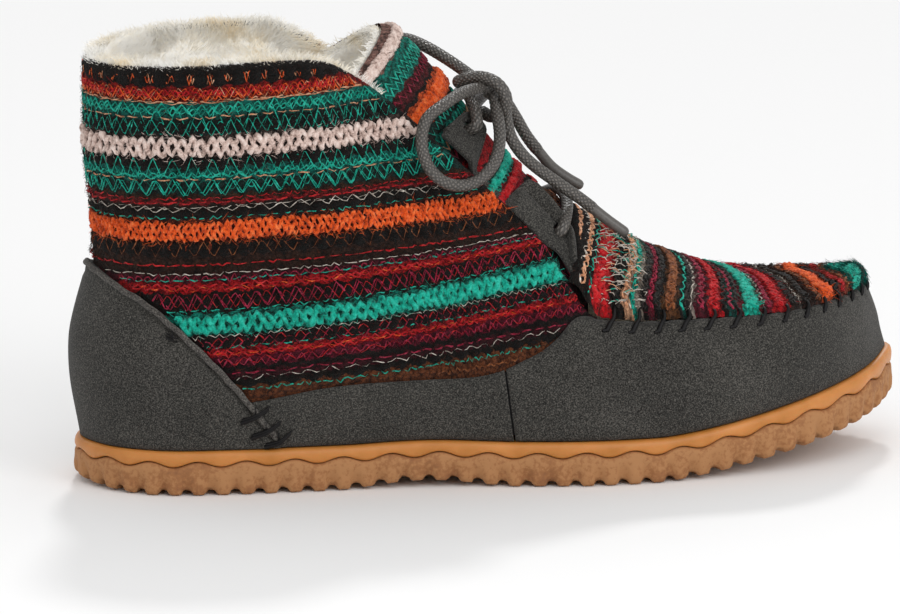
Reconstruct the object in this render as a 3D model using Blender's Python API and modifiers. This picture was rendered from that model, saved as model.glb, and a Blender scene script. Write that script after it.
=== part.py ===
"""Moccasin ankle boot for the right foot: knit upper, suede toe, counter and tabs, rubber sole.

The frame has +X to the toe, +Z up and the lateral side at -Y. The origin is the centre of the
heel's flat patch on the ground. Every form is worked out from the driving dimensions and from
one table of rows, which runs from the heel's back to the tip of the toe on both sides.
"""

import math
from collections import namedtuple

import bmesh
import bpy
import numpy as np
from mathutils import Vector

MM = 0.001

# Driving dimensions of the sole
SOLE_LENGTH = 268 * MM
BALL_WIDTH = 91 * MM
HEEL_SEAT = 38.7 * MM
SOLE_THICKNESS = 14.2 * MM
TOE_SPRING = 15.0 * MM
TOE_THICKENING = 1.4 * MM
ARCH_LIFT = 2.2 * MM
ARCH_TOP_SHARE = 0.35
HEEL_ROLL = 1.8 * MM
BAND_THICKNESS = 4.3 * MM
BAND_TOE_EXTRA = 1.0 * MM
BAND_INSET = 0.8 * MM
WAVE_HEIGHT = 0.9 * MM
LUG_PITCH = 7.6 * MM
LUG_DEPTH = 3.0 * MM
LUG_REACH = 9.0 * MM
LUG_CHAMFER = 1.3 * MM
GROOVE_INSET = 1.6 * MM

# Shares of the sole's length where its bends start and end
HEEL_ROLL_END = 0.075
ARCH_START, ARCH_END = 0.28, 0.51
TOE_BEND = 0.675
BAND_SWELL_START = 0.7

# Driving dimensions of the upper
COLLAR_HEIGHT = 138 * MM
SEAM_HEIGHT = 51.5 * MM
INSTEP_RISE = 26 * MM
FEATHER_INSET = 1.5 * MM
FOOT_SWELL = 2.2
SUEDE_THICKNESS = 1.4 * MM
WALL_THICKNESS = 2.6 * MM
TONGUE_THICKNESS = 2.6 * MM
INSOLE_THICKNESS = 4.0 * MM
PLUG_THICKNESS = 1.9 * MM
PLUG_PROUD = 0.5 * MM
COUNTER_PROUD = 0.5 * MM
FIT_GAP = 0.4 * MM
SUEDE_GAP = 0.65 * MM
TONGUE_GAP = 0.7 * MM

# Eyestay tabs and laces
TAB_RISE = 2.6 * MM
EYELET_DIAMETER = 6.2 * MM
LACE_DIAMETER = 3.9 * MM
KNOT_SIZE = (10 * MM, 9 * MM, 9 * MM)
UPPER_BAR_RISE = 5.0 * MM
LOWER_BAR_RISE = 3.4 * MM
KNOT_BACK_SPAN = 8.0 * MM

# One row for each section. The x columns are shares of the sole's length from its back edge,
# the lateral, medial and bulge columns are shares of the ball's width, rise is the share of the
# way from the plug seam's height to the collar's, and the crown columns are shares of the instep
# rise. Guard and counter are the shares of the wall that those suede edges reach.
Row = namedtuple(
    "Row",
    "name sole_x sole_lateral sole_medial top_x top_lateral top_medial rise"
    " low mid high crown_x crown_z guard counter",
)
ROWS = [
    Row("heel back", 0.000, 0.000, 0.000, 0.011, 0.000, 0.000, 0.965,
        0.041, -0.030, -0.003, 0.47, 0.50, 0.12, 0.462),
    Row("heel corner", 0.029, 0.214, 0.203, 0.030, 0.187, 0.187, 0.971,
        0.037, -0.031, -0.010, 0.47, 0.50, 0.12, 0.430),
    Row("heel round", 0.079, 0.322, 0.305, 0.068, 0.308, 0.308, 0.980,
        0.031, -0.030, -0.012, 0.47, 0.50, 0.12, 0.370),
    Row("heel side", 0.163, 0.366, 0.344, 0.148, 0.407, 0.407, 0.994,
        0.026, -0.013, -0.008, 0.47, 0.50, 0.12, 0.185),
    Row("ankle", 0.286, 0.380, 0.341, 0.245, 0.407, 0.407, 1.000,
        0.044, 0.012, -0.003, 0.47, 0.50, 0.155, -0.18),
    Row("collar corner", 0.413, 0.404, 0.314, 0.337, 0.310, 0.310, 0.884,
        0.055, 0.045, 0.022, 0.47, 0.50, 0.176, -0.5),
    Row("throat middle", 0.510, 0.465, 0.346, 0.490, 0.264, 0.264, 0.457,
        0.045, 0.052, 0.040, 0.28, 0.30, 0.324, -0.5),
    Row("throat low", 0.562, 0.497, 0.385, 0.544, 0.308, 0.286, 0.283,
        0.035, 0.050, 0.045, 0.23, 0.43, 0.535, -0.5),
    Row("seam start", 0.607, 0.510, 0.429, 0.600, 0.412, 0.360, 0.020,
        0.030, 0.048, 0.040, 0.20, 1.00, 1.0, -0.5),
    Row("vamp back", 0.697, 0.493, 0.484, 0.697, 0.405, 0.395, 0.000,
        0.032, 0.048, 0.042, 0.00, 0.62, 1.0, -0.5),
    Row("vamp middle", 0.801, 0.434, 0.486, 0.797, 0.389, 0.418, 0.000,
        0.030, 0.042, 0.036, 0.00, 0.30, 1.0, -0.5),
    Row("toe side", 0.887, 0.332, 0.432, 0.865, 0.313, 0.363, 0.003,
        0.022, 0.034, 0.030, 0.00, 0.24, 1.0, -0.5),
    Row("toe corner", 0.947, 0.198, 0.341, 0.915, 0.181, 0.291, 0.006,
        0.012, 0.022, 0.020, 0.00, 0.22, 1.0, -0.5),
    Row("toe round", 0.984, 0.038, 0.220, 0.948, 0.055, 0.187, 0.008,
        0.004, 0.010, 0.010, 0.00, 0.20, 1.0, -0.5),
    Row("toe tip", 1.000, -0.088, 0.088, 0.963, -0.071, 0.071, 0.008,
        0.002, 0.009, 0.009, 0.00, 0.00, 1.0, -0.5),
]
LAST = len(ROWS) - 1
LOOP = 2 * LAST
CORNER, SEAM_START = 5, 8
SIDE_SEAM = 5.86
LATERAL, MEDIAL = -1, 1


def column(lateral, medial=None, mirror=1):
    """A column of the table as one loop: lateral side to the toe, medial side back."""
    out = [getattr(row, lateral) for row in ROWS]
    back = [getattr(row, medial or lateral) * mirror for row in ROWS]
    return np.array(out + back[-2:0:-1])


def knot_lengths():
    """Distance from each row to the next along the sole's outline, which paces the curves."""
    xs = column("sole_x") * SOLE_LENGTH
    ys = -column("sole_lateral", "sole_medial", -1) * BALL_WIDTH
    step = np.stack([np.roll(xs, -1) - xs, np.roll(ys, -1) - ys])
    return np.hypot(step[0], step[1])


def slopes(values, lengths):
    """Slope of the smooth curve at each row, held back so that it never overshoots a row."""
    before, after = np.roll(lengths, 1), lengths
    left = (values - np.roll(values, 1)) / before
    right = (np.roll(values, -1) - values) / after
    mean = (left * after + right * before) / (before + after)
    limit = 3 * np.minimum(abs(left), abs(right))
    return np.where(left * right > 0, np.clip(mean, -limit, limit), 0)


LENGTHS = knot_lengths()
COLUMNS = {
    "sole_x": column("sole_x") * SOLE_LENGTH - HEEL_SEAT,
    "sole_y": -column("sole_lateral", "sole_medial", -1) * BALL_WIDTH,
    "top_x": column("top_x") * SOLE_LENGTH - HEEL_SEAT,
    "top_y": -column("top_lateral", "top_medial", -1) * BALL_WIDTH,
    "top_z": SEAM_HEIGHT + column("rise") * (COLLAR_HEIGHT - SEAM_HEIGHT),
    "low": column("low") * BALL_WIDTH,
    "mid": column("mid") * BALL_WIDTH,
    "high": column("high") * BALL_WIDTH,
    "crown_x": column("crown_x") * INSTEP_RISE,
    "crown_z": column("crown_z") * INSTEP_RISE,
    "guard": column("guard"),
    "counter": column("counter"),
}
SLOPES = {name: slopes(values, LENGTHS) for name, values in COLUMNS.items()}


def along(side, row):
    """Place on the closed loop of a row number, which may lie between rows or past the heel."""
    return row % LOOP if side == LATERAL else (LOOP - row) % LOOP


def read(name, loop_place):
    """A column's value on its smooth curve."""
    start = int(loop_place) % LOOP
    end = (start + 1) % LOOP
    part = loop_place - int(loop_place)
    square, cube = part * part, part * part * part
    span = LENGTHS[start]
    return (
        (2 * cube - 3 * square + 1) * COLUMNS[name][start]
        + (cube - 2 * square + part) * SLOPES[name][start] * span
        + (3 * square - 2 * cube) * COLUMNS[name][end]
        + (cube - square) * SLOPES[name][end] * span
    )


def smooth(low, high, value):
    """Soft step from 0 at low to 1 at high."""
    part = min(1, max(0, (value - low) / (high - low)))
    return part * part * (3 - 2 * part)


def at(share):
    """X of a place given as a share of the sole's length."""
    return share * SOLE_LENGTH - HEEL_SEAT


def sole_bottom(x):
    """Height of the tread: flat under heel and ball, raised at the arch, toe and heel's back."""
    toe = max(0, (x - at(TOE_BEND)) / (at(1) - at(TOE_BEND)))
    heel = max(0, (at(HEEL_ROLL_END) - x) / (at(HEEL_ROLL_END) - at(0)))
    arch = min(1, max(0, (x - at(ARCH_START)) / (at(ARCH_END) - at(ARCH_START))))
    return (
        TOE_SPRING * toe**1.3
        + HEEL_ROLL * heel**2
        + ARCH_LIFT * math.sin(math.pi * arch) ** 2
    )


def sole_top(x):
    """Height of the feather line, where the upper meets the sole."""
    toe = max(0, (x - at(TOE_BEND)) / (at(1) - at(TOE_BEND)))
    arch = min(1, max(0, (x - at(ARCH_START)) / (at(ARCH_END) - at(ARCH_START))))
    lift = TOE_SPRING * toe**1.3 + TOE_THICKENING * smooth(0, 1, toe)
    return SOLE_THICKNESS + lift + ARCH_TOP_SHARE * ARCH_LIFT * math.sin(math.pi * arch) ** 2


def band_bottom(x):
    """Height of the line between the smooth band and the tread rubber."""
    return sole_top(x) - BAND_THICKNESS - BAND_TOE_EXTRA * smooth(at(BAND_SWELL_START), at(1), x)


def outward(loop_place):
    """Unit vector in plan, pointing out of the sole's outline."""
    step = 0.02
    before, after = (loop_place - step) % LOOP, (loop_place + step) % LOOP
    dx = read("sole_x", after) - read("sole_x", before)
    dy = read("sole_y", after) - read("sole_y", before)
    return Vector((dy, -dx, 0)).normalized()


def rim(loop_place, inset):
    """Point of the sole's outline in plan, moved in by inset."""
    point = Vector((read("sole_x", loop_place), read("sole_y", loop_place), 0))
    return point - outward(loop_place) * inset


def bulge(loop_place, part):
    """How far the wall stands out of the straight line from sole to top edge."""
    levels = [0, read("low", loop_place), read("mid", loop_place), read("high", loop_place), 0]
    levels = [-FOOT_SWELL * levels[1]] + levels + [-levels[3]]
    place = min(3.999, max(0, part * 4))
    start = int(place)
    rest = place - start
    a, b, c, d = levels[start : start + 4]
    return 0.5 * (
        2 * b
        + (c - a) * rest
        + (2 * a - 5 * b + 4 * c - d) * rest**2
        + (3 * b - a - 3 * c + d) * rest**3
    )


def wall(side, row, part):
    """Point of the upper's outer form: part 0 is the feather line, 1 the top edge."""
    place = along(side, row)
    foot = rim(place, BAND_INSET + FEATHER_INSET)
    foot.z = sole_top(foot.x) + FIT_GAP
    top = Vector((read("top_x", place), read("top_y", place), read("top_z", place)))
    return foot.lerp(top, part) + outward(place) * bulge(place, part)


def arch_share(across):
    """Height of the cross arc over the instep, 0 at both edges and 1 in the middle."""
    return (4 * max(0, across * (1 - across))) ** 0.8


def crown(row):
    """The way the instep's middle stands off the line between its two edges."""
    place = along(LATERAL, row)
    return Vector((read("crown_x", place), 0, read("crown_z", place)))


def lid(row, across):
    """Point over the instep: across 0 is the lateral top edge, 1 the medial one."""
    edge = wall(LATERAL, row, 1).lerp(wall(MEDIAL, row, 1), across)
    return edge + crown(row) * arch_share(across)


def girth(row, place):
    """Point on the whole way round a row: 0 to 1 lateral wall, 1 to 2 instep, 2 to 3 medial."""
    if place < 1:
        return wall(LATERAL, row, place)
    if place > 2:
        return wall(MEDIAL, row, 3 - place)
    return lid(row, place - 1)


def spaced_rows(low, high, count, part=0):
    """Row numbers from low to high, evenly spaced along the lateral wall at a height share."""
    fine = np.linspace(low, high, 300)
    points = [wall(LATERAL, row, part) for row in fine]
    steps = [0] + [(b - a).length for a, b in zip(points, points[1:])]
    return np.interp(np.linspace(0, sum(steps), count + 1), np.cumsum(steps), fine)


def material(name, color, roughness):
    """Principled material with one colour."""
    made = bpy.data.materials.new(name)
    made.use_nodes = True
    shader = made.node_tree.nodes["Principled BSDF"]
    shader.inputs["Base Color"].default_value = (*color, 1)
    shader.inputs["Roughness"].default_value = roughness
    made.diffuse_color = (*color, 1)
    return made


def add_patch(bm, count_a, count_b, point):
    """A grid of count_a by count_b faces whose corners are placed by point(i, j)."""
    made = bmesh.ops.create_grid(bm, x_segments=count_a, y_segments=count_b, size=1)
    for vert in made["verts"]:
        i = round((vert.co.x + 1) / 2 * count_a)
        j = round((vert.co.y + 1) / 2 * count_b)
        vert.co = point(i, j)


def face_outward(bm):
    """Turn all faces away from the inside of the boot."""
    bmesh.ops.recalc_face_normals(bm, faces=bm.faces)
    total = 0
    for face in bm.faces:
        middle = face.calc_center_median()
        inner = Vector((min(at(0.85), max(0, middle.x)), 0, min(0.3 * COLLAR_HEIGHT, middle.z)))
        total += face.normal.dot(middle - inner) * face.calc_area()
    if total < 0:
        bmesh.ops.reverse_faces(bm, faces=bm.faces)


def add_object(name, bm, made_of, collection):
    """Finish a mesh as an object in its collection."""
    mesh = bpy.data.meshes.new(name)
    bm.to_mesh(mesh)
    bm.free()
    mesh.materials.append(made_of)
    mesh.shade_smooth()
    mesh.set_sharp_from_angle(angle=math.radians(40))
    made = bpy.data.objects.new(name, mesh)
    collection.objects.link(made)
    return made


def add_shell(name, patches, outer, inner, made_of, collection):
    """An open surface of patches, made solid between two depths below the boot's form."""
    bm = bmesh.new()
    for count_a, count_b, point in patches:
        add_patch(bm, count_a, count_b, point)
    bmesh.ops.remove_doubles(bm, verts=bm.verts, dist=0.02 * MM)
    face_outward(bm)
    made = add_object(name, bm, made_of, collection)
    solid = made.modifiers.new("Solidify", "SOLIDIFY")
    solid.thickness = inner - outer
    solid.offset = -1 - 2 * outer / solid.thickness
    solid.use_even_offset = True
    return made


def add_outline_solid(name, samples, profile, made_of, collection):
    """A closed solid whose profile(side, row, i, j) runs round the sole's outline."""
    lateral = [(LATERAL, row, i) for i, row in enumerate(samples)]
    medial = [(MEDIAL, row, i) for i, row in enumerate(samples)]
    loop = lateral + medial[-2::-1]
    levels = profile(None)
    bm = bmesh.new()
    add_patch(bm, len(loop) - 1, levels - 1, lambda i, j: profile((*loop[i], j)))
    bmesh.ops.remove_doubles(bm, verts=bm.verts, dist=0.02 * MM)
    bmesh.ops.triangulate(bm, faces=[face for face in bm.faces if len(face.verts) > 3])
    bmesh.ops.dissolve_degenerate(bm, edges=bm.edges, dist=0.01 * MM)
    bmesh.ops.recalc_face_normals(bm, faces=bm.faces)
    return add_object(name, bm, made_of, collection)


def lug_samples():
    """Row numbers at each lug's four corners: groove start, groove end, lug start, lug end."""
    fine = np.linspace(0, LAST, 1200)
    points = [rim(along(LATERAL, row), 0) for row in fine]
    steps = np.cumsum([0] + [(b - a).length for a, b in zip(points, points[1:])])
    count = 2 * round(steps[-1] / LUG_PITCH / 2)
    shares = [(lug + part) / count for lug in range(count) for part in (0, 0.2, 0.36, 0.84)]
    return np.interp(np.array(shares + [1]) * steps[-1], steps, fine)


def centre(row, inset, height):
    """Point midway between the two sides of the sole at a row, at the height there."""
    middle = (rim(along(LATERAL, row), inset) + rim(along(MEDIAL, row), inset)) / 2
    middle.z = height(middle.x)
    return middle


def band_edge(side, samples, i):
    """Point of the wavy edge between band and tread. Only every second sample bends it."""
    if i % 2:
        before = band_edge(side, samples, i - 1)
        after = band_edge(side, samples, i + 1)
        reach = (samples[i] - samples[i - 1]) / (samples[i + 1] - samples[i - 1])
        return before.lerp(after, reach)
    point = rim(along(side, samples[i]), BAND_INSET)
    wave = (0, 1, 0, -1)[i // 2 % 4]
    point.z = band_bottom(point.x) + WAVE_HEIGHT * wave
    return point


def make_outsole(samples, collection):
    """Tread rubber: wavy top edge, cobble lugs round the rim and a flat pad inside them."""

    def profile(spot):
        if spot is None:
            return 6
        side, row, i, level = spot
        place = along(side, row)
        groove = i % 4 < 2
        if level == 0:
            return centre(samples[i], LUG_REACH, band_bottom)
        if level == 1:
            return band_edge(side, samples, i)
        if level == 2:
            point = rim(place, GROOVE_INSET if groove else 0)
            point.z = sole_bottom(point.x) + LUG_DEPTH
            return point
        if level == 3:
            point = rim(place, GROOVE_INSET + LUG_CHAMFER if groove else LUG_CHAMFER)
            point.z = sole_bottom(point.x) + (LUG_DEPTH if groove else 0)
            return point
        if level == 4:
            point = rim(place, LUG_REACH)
            point.z = sole_bottom(point.x)
            return point
        return centre(row, LUG_REACH, sole_bottom)

    rubber = material("gum rubber", (0.43, 0.21, 0.09), 0.75)
    return add_outline_solid("outsole", samples, profile, rubber, collection)


def make_midsole(samples, collection):
    """Smooth amber band on top of the tread, with the same wavy edge a gap above it."""
    coarse = samples[::2]

    def profile(spot):
        if spot is None:
            return 5
        side, row, i, level = spot
        if level == 0:
            point = centre(row, LUG_REACH, band_bottom)
            point.z += FIT_GAP
            return point
        if level == 1:
            point = band_edge(side, samples, 2 * i)
            point.z += FIT_GAP
            return point
        if level == 4:
            return centre(row, LUG_REACH, sole_top)
        point = rim(along(side, row), BAND_INSET * (0.4 if level == 2 else 1.6))
        swell = 0.55 if level == 2 else 1
        low = band_bottom(point.x) + FIT_GAP
        point.z = low + (sole_top(point.x) - low) * swell
        return point

    rubber = material("amber rubber", (0.66, 0.27, 0.06), 0.45)
    return add_outline_solid("midsole", coarse, profile, rubber, collection)


def make_insole(collection):
    """Flat cushion that lies on the midsole inside the upper."""
    samples = spaced_rows(0, LAST, 16)
    inset = BAND_INSET + FEATHER_INSET + SUEDE_THICKNESS + WALL_THICKNESS + 6 * FIT_GAP

    def profile(spot):
        if spot is None:
            return 4
        side, row, _, level = spot
        base = FIT_GAP + (INSOLE_THICKNESS if level > 1 else 0)
        if level in (0, 3):
            point = centre(row, LUG_REACH + inset, sole_top)
        else:
            point = rim(along(side, row), inset)
            point.z = sole_top(point.x)
        point.z += base
        return point

    felt = material("insole felt", (0.75, 0.70, 0.60), 0.95)
    return add_outline_solid("insole", samples, profile, felt, collection)


def make_upper(collection):
    """Knit body: one hollow wall round the foot with the plug's area closed over the toes."""
    rear = list(spaced_rows(0, CORNER, 11))
    throat = list(spaced_rows(CORNER, SEAM_START, 9))
    front = list(spaced_rows(SEAM_START, LAST, 12))
    rows = rear + throat[1:] + front[1:]
    loop = [(LATERAL, row) for row in rows] + [(MEDIAL, row) for row in rows[-2::-1]]
    levels, lid_steps = 9, 7

    def wall_point(i, j):
        side, row = loop[i]
        return wall(side, row, j / levels)

    def lid_point(i, j):
        return lid(front[i], j / lid_steps)

    knit = material("striped knit", (0.30, 0.07, 0.05), 0.95)
    patches = [
        (len(loop) - 1, levels, wall_point),
        (len(front) - 1, lid_steps, lid_point),
    ]
    outer = SUEDE_THICKNESS + SUEDE_GAP
    return add_shell("upper", patches, outer, outer + WALL_THICKNESS, knit, collection)


def counter_end(part):
    """Row number of the counter's front edge at a share of the wall's height."""
    rows = np.linspace(3, 4, 60)
    heights = [read("counter", along(LATERAL, row)) for row in rows]
    return float(np.interp(-part, -np.array(heights), rows))


def make_counter(suede, collection):
    """Suede heel counter: high at the back, with edges that fall forward to the sole."""
    reach = counter_end(0.012)
    half = list(spaced_rows(0, reach, 10))
    loop = [(MEDIAL, row) for row in half[::-1]] + [(LATERAL, row) for row in half[1:]]

    def point(i, j):
        side, row = loop[i]
        return wall(side, row, max(0.012, read("counter", along(side, row))) * j / 4)

    patches = [(len(loop) - 1, 4, point)]
    made = add_shell(
        "heel_counter", patches, -COUNTER_PROUD, SUEDE_THICKNESS, suede, collection
    )
    return made


def guard_top(side, row):
    """Share of the wall that the suede foxing and vamp reach at a row."""
    return min(0.985, read("guard", along(side, row)))


def make_foxing(side, name, suede, collection):
    """Low suede strip along one side, from the counter's edge to the side seam."""
    rows = spaced_rows(counter_end(0) + 0.02, SIDE_SEAM - 0.012, 9)
    rear = rows[1]

    def point(i, j):
        row = rows[i]
        part = guard_top(side, max(row, 3.3)) * j / 2
        if i == 0:
            row = min(rear - 0.1, counter_end(part) + 0.03)
        return wall(side, row, part)

    patches = [(len(rows) - 1, 2, point)]
    return add_shell(name, patches, 0, SUEDE_THICKNESS, suede, collection)


def make_vamp(suede, collection):
    """Suede toe piece from side seam to side seam, up to the moccasin seam."""
    turn = SEAM_START + 0.7
    half = list(spaced_rows(SIDE_SEAM, turn, 10)) + list(spaced_rows(turn, LAST, 10))[1:]
    loop = [(LATERAL, row) for row in half] + [(MEDIAL, row) for row in half[-2::-1]]
    levels = 6

    def point(i, j):
        side, row = loop[i]
        return wall(side, row, guard_top(side, row) * j / levels)

    patches = [(len(loop) - 1, levels, point)]
    return add_shell("vamp", patches, 0, SUEDE_THICKNESS, suede, collection)


def make_plug(collection):
    """Knit apron over the toes, sewn to the vamp all round its front."""
    rows = list(spaced_rows(SEAM_START, LAST - 0.15, 13))
    steps = 8

    def point(i, j):
        return lid(rows[i], 0.015 + 0.97 * j / steps)

    knit = material("plug knit", (0.34, 0.08, 0.06), 0.95)
    patches = [(len(rows) - 1, steps, point)]
    return add_shell("plug", patches, -PLUG_PROUD, PLUG_THICKNESS - PLUG_PROUD, knit, collection)


def tongue_depth():
    """How far under the boot's outer form the tongue's edges lie."""
    return SUEDE_THICKNESS + SUEDE_GAP + WALL_THICKNESS + FIT_GAP


def make_tongue(collection):
    """Knit tongue: edges tucked under the quarters, middle raised level with them."""
    step = TONGUE_GAP / (SOLE_LENGTH * (ROWS[SEAM_START].top_x - ROWS[SEAM_START - 1].top_x))
    rows = list(spaced_rows(CORNER - 0.10, SEAM_START - step, 9))
    steps = 12

    def point(i, j):
        place = 0.90 + 1.20 * j / steps
        across = min(1, max(0, place - 1))
        lift = crown(rows[i]).normalized() * tongue_depth() * (4 * across * (1 - across)) ** 2
        return girth(rows[i], place) + lift

    knit = material("tongue knit", (0.28, 0.08, 0.06), 0.95)
    patches = [(len(rows) - 1, steps, point)]
    depth = tongue_depth()
    return add_shell("tongue", patches, depth, depth + TONGUE_THICKNESS, knit, collection)


# Each eyestay has two leaf tabs: the rows where a tab starts and ends, the row of its widest
# reach, that reach as a share of the way over the instep, and the place of its eyelet.
Tab = namedtuple("Tab", "start peak end reach eyelet_row eyelet_across")
TABS = [
    Tab(5.44, 5.68, 5.88, 0.27, 5.64, 0.165),
    Tab(5.95, 6.35, 7.85, 0.20, 7.20, 0.105),
]
TAB_BASE, TAB_STRIP = 0.022, 0.055


def tab_reach(row):
    """How far over the instep the eyestay reaches at a row."""
    reach = TAB_STRIP
    for tab in TABS:
        if tab.start < row < tab.end:
            rising = (row - tab.start) / (tab.peak - tab.start)
            falling = (tab.end - row) / (tab.end - tab.peak)
            lobe = math.sin(math.pi / 2 * min(1, rising, falling)) ** 0.7
            reach = max(reach, TAB_STRIP + (tab.reach - TAB_STRIP) * lobe)
    return reach


def tab_point(side, row, across):
    """Point of an eyestay's outer face, which rises off the tongue towards its tip."""
    place = 1 + across if side == LATERAL else 2 - across
    lift = crown(row).normalized() * TAB_RISE * across / TABS[0].reach
    return girth(row, place) + lift


def make_eyestay(side, name, suede, collection, cutters):
    """Suede strip with two leaf tabs along the throat's edge, each with an eyelet hole."""
    rows = list(spaced_rows(TABS[0].start - 0.05, TABS[-1].end, 16, 1))

    def point(i, j):
        across = TAB_BASE + (tab_reach(rows[i]) - TAB_BASE) * j / 2
        return tab_point(side, rows[i], across)

    outer = SUEDE_THICKNESS + FIT_GAP
    patches = [(len(rows) - 1, 2, point)]
    made = add_shell(name, patches, outer, outer + SUEDE_THICKNESS, suede, collection)
    for number, tab in enumerate(TABS, 1):
        bm = bmesh.new()
        bmesh.ops.create_cone(
            bm,
            cap_ends=True,
            segments=12,
            radius1=EYELET_DIAMETER / 2,
            radius2=EYELET_DIAMETER / 2,
            depth=8 * SUEDE_THICKNESS,
        )
        middle = tab_point(side, tab.eyelet_row, tab.eyelet_across)
        normal = tab_normal(side, tab.eyelet_row, tab.eyelet_across)
        bmesh.ops.rotate(bm, verts=bm.verts, matrix=normal.to_track_quat("Z", "Y").to_matrix())
        bmesh.ops.translate(bm, verts=bm.verts, vec=middle - normal * outer)
        cutter = add_object(f"{name}_hole_{number}", bm, suede, cutters)
        cutter.hide_render = True
        cutter.display_type = "WIRE"
        cut = made.modifiers.new("Eyelet", "BOOLEAN")
        cut.operation = "DIFFERENCE"
        cut.object = cutter
    return made


def tab_normal(side, row, across):
    """Unit normal of an eyestay's face, pointing away from the foot."""
    step = 0.01
    down = tab_point(side, row + step, across) - tab_point(side, row - step, across)
    over = tab_point(side, row, across + step) - tab_point(side, row, across - step)
    normal = down.cross(over).normalized()
    return normal if normal.dot(crown(row)) > 0 else -normal


def eyelet(side, tab, height):
    """Point over an eyelet's centre, at a height above the tab's outer face."""
    normal = tab_normal(side, tab.eyelet_row, tab.eyelet_across)
    outer = SUEDE_THICKNESS + FIT_GAP
    middle = tab_point(side, tab.eyelet_row, tab.eyelet_across)
    return middle + normal * (height - outer)


# Routes of the laces in millimetres, chosen by hand
KNOT_CENTRE = (94.5, -8, 121.5)
ROUTES = {
    "lace_loop_lateral": [
        (90.7, -11.5, 123.2), (82.5, -20, 123.5), (75, -27, 121.5), (68, -31.5, 117.5),
        (65.8, -35, 110.5), (67.6, -37, 103.5), (72.6, -37.5, 98.5), (79, -37, 97.2),
        (85, -35, 98.8), (90.5, -30, 103.0), (93.6, -23, 109.5), (94.4, -12.7, 118.8),
    ],
    "lace_loop_medial": [
        (90.4, -5.6, 124.2), (83, 1, 129.5), (76, 8, 133.5), (71, 16, 134.5), (67, 25, 131),
        (66, 33, 124), (69, 38, 115), (75, 39.5, 107), (83, 38, 103), (90, 32.5, 104.5),
        (95, 24, 110), (97.5, 12, 117.5), (95.3, -3.0, 121.3),
    ],
    "lace_end_far": [
        (98.7, -5.0, 118.6), (103, -3.2, 111.8), (107, -2.2, 105), (111.5, -1, 99.2),
        (115.6, 0, 94.4), (120.5, 0.3, 90.6), (126, 0.5, 87.2),
    ],
    "lace_end_near": [
        (97.9, -10.0, 117.7), (98.6, -14.4, 108.8), (102, -15.5, 102.6), (107, -16, 97.6),
        (114.4, -16.5, 92.0), (122, -17, 86.4), (129.5, -17.5, 80.2), (136.4, -18, 75.0),
    ],
}


def smooth_route(points, spacing):
    """Points read from a smooth curve through a route's own points, about a spacing apart."""
    given = [Vector(point) for point in points]
    ends = [2 * given[0] - given[1]] + given + [2 * given[-1] - given[-2]]
    fine = []
    for a, b, c, d in zip(ends, ends[1:], ends[2:], ends[3:]):
        for step in range(12):
            t = step / 12
            fine.append(
                0.5 * (2 * b + (c - a) * t + (2 * a - 5 * b + 4 * c - d) * t**2
                       + (3 * b - a - 3 * c + d) * t**3)
            )
    fine.append(given[-1])
    lengths = np.cumsum([0] + [(b - a).length for a, b in zip(fine, fine[1:])])
    count = max(2, round(lengths[-1] / spacing))
    places = np.linspace(0, lengths[-1], count + 1)
    axes = [np.interp(places, lengths, [point[axis] for point in fine]) for axis in range(3)]
    return [Vector(point) for point in zip(*axes)]


def add_lace(name, route, made_of, collection, spacing=2.3):
    """A round lace: a poly curve with a bevel and filled caps, spacing in diameters."""
    points = smooth_route(route, spacing * LACE_DIAMETER)
    curve = bpy.data.curves.new(name, "CURVE")
    curve.dimensions = "3D"
    curve.bevel_depth = LACE_DIAMETER / 2
    curve.bevel_resolution = 2
    curve.use_fill_caps = True
    spline = curve.splines.new("POLY")
    spline.points.add(len(points) - 1)
    for target, point in zip(spline.points, points):
        target.co = (*point, 1)
    curve.materials.append(made_of)
    made = bpy.data.objects.new(name, curve)
    collection.objects.link(made)
    return made


def make_laces(collection):
    """Bars through the eyelets, the knot, two loops and two ends."""
    cord = material("waxed cord", (0.09, 0.08, 0.075), 0.6)
    knot = Vector(KNOT_CENTRE) * MM
    bm = bmesh.new()
    bmesh.ops.create_uvsphere(bm, u_segments=12, v_segments=8, radius=0.5)
    bmesh.ops.scale(bm, verts=bm.verts, vec=KNOT_SIZE)
    bmesh.ops.translate(bm, verts=bm.verts, vec=knot)
    add_object("lace_knot", bm, cord, collection)
    for name, route in ROUTES.items():
        add_lace(name, [Vector(point) * MM for point in route], cord, collection)
    behind = knot - Vector((KNOT_SIZE[0] / 2 + LACE_DIAMETER / 2 + 2 * FIT_GAP, 0, MM))
    rest = -0.5 * SUEDE_THICKNESS
    upper = [eyelet(LATERAL, TABS[0], rest), eyelet(LATERAL, TABS[0], UPPER_BAR_RISE)]
    upper += [behind, behind + Vector((0, KNOT_BACK_SPAN, 0))]
    upper += [eyelet(MEDIAL, TABS[0], UPPER_BAR_RISE), eyelet(MEDIAL, TABS[0], rest)]
    add_lace("lace_bar_upper", upper, cord, collection, 1.1)
    low = TABS[1]
    lower = [eyelet(LATERAL, low, rest), eyelet(LATERAL, low, LOWER_BAR_RISE)]
    for across in (0.3, 0.5, 0.7):
        over = lid(low.eyelet_row + 0.1, across)
        lower.append(over + crown(low.eyelet_row).normalized() * (LACE_DIAMETER / 2 + 1 * MM))
    lower += [eyelet(MEDIAL, low, LOWER_BAR_RISE), eyelet(MEDIAL, low, rest)]
    add_lace("lace_bar_lower", lower, cord, collection, 1.1)


def new_collection(name):
    """A collection of the scene."""
    made = bpy.data.collections.new(name)
    bpy.context.scene.collection.children.link(made)
    return made


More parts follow.
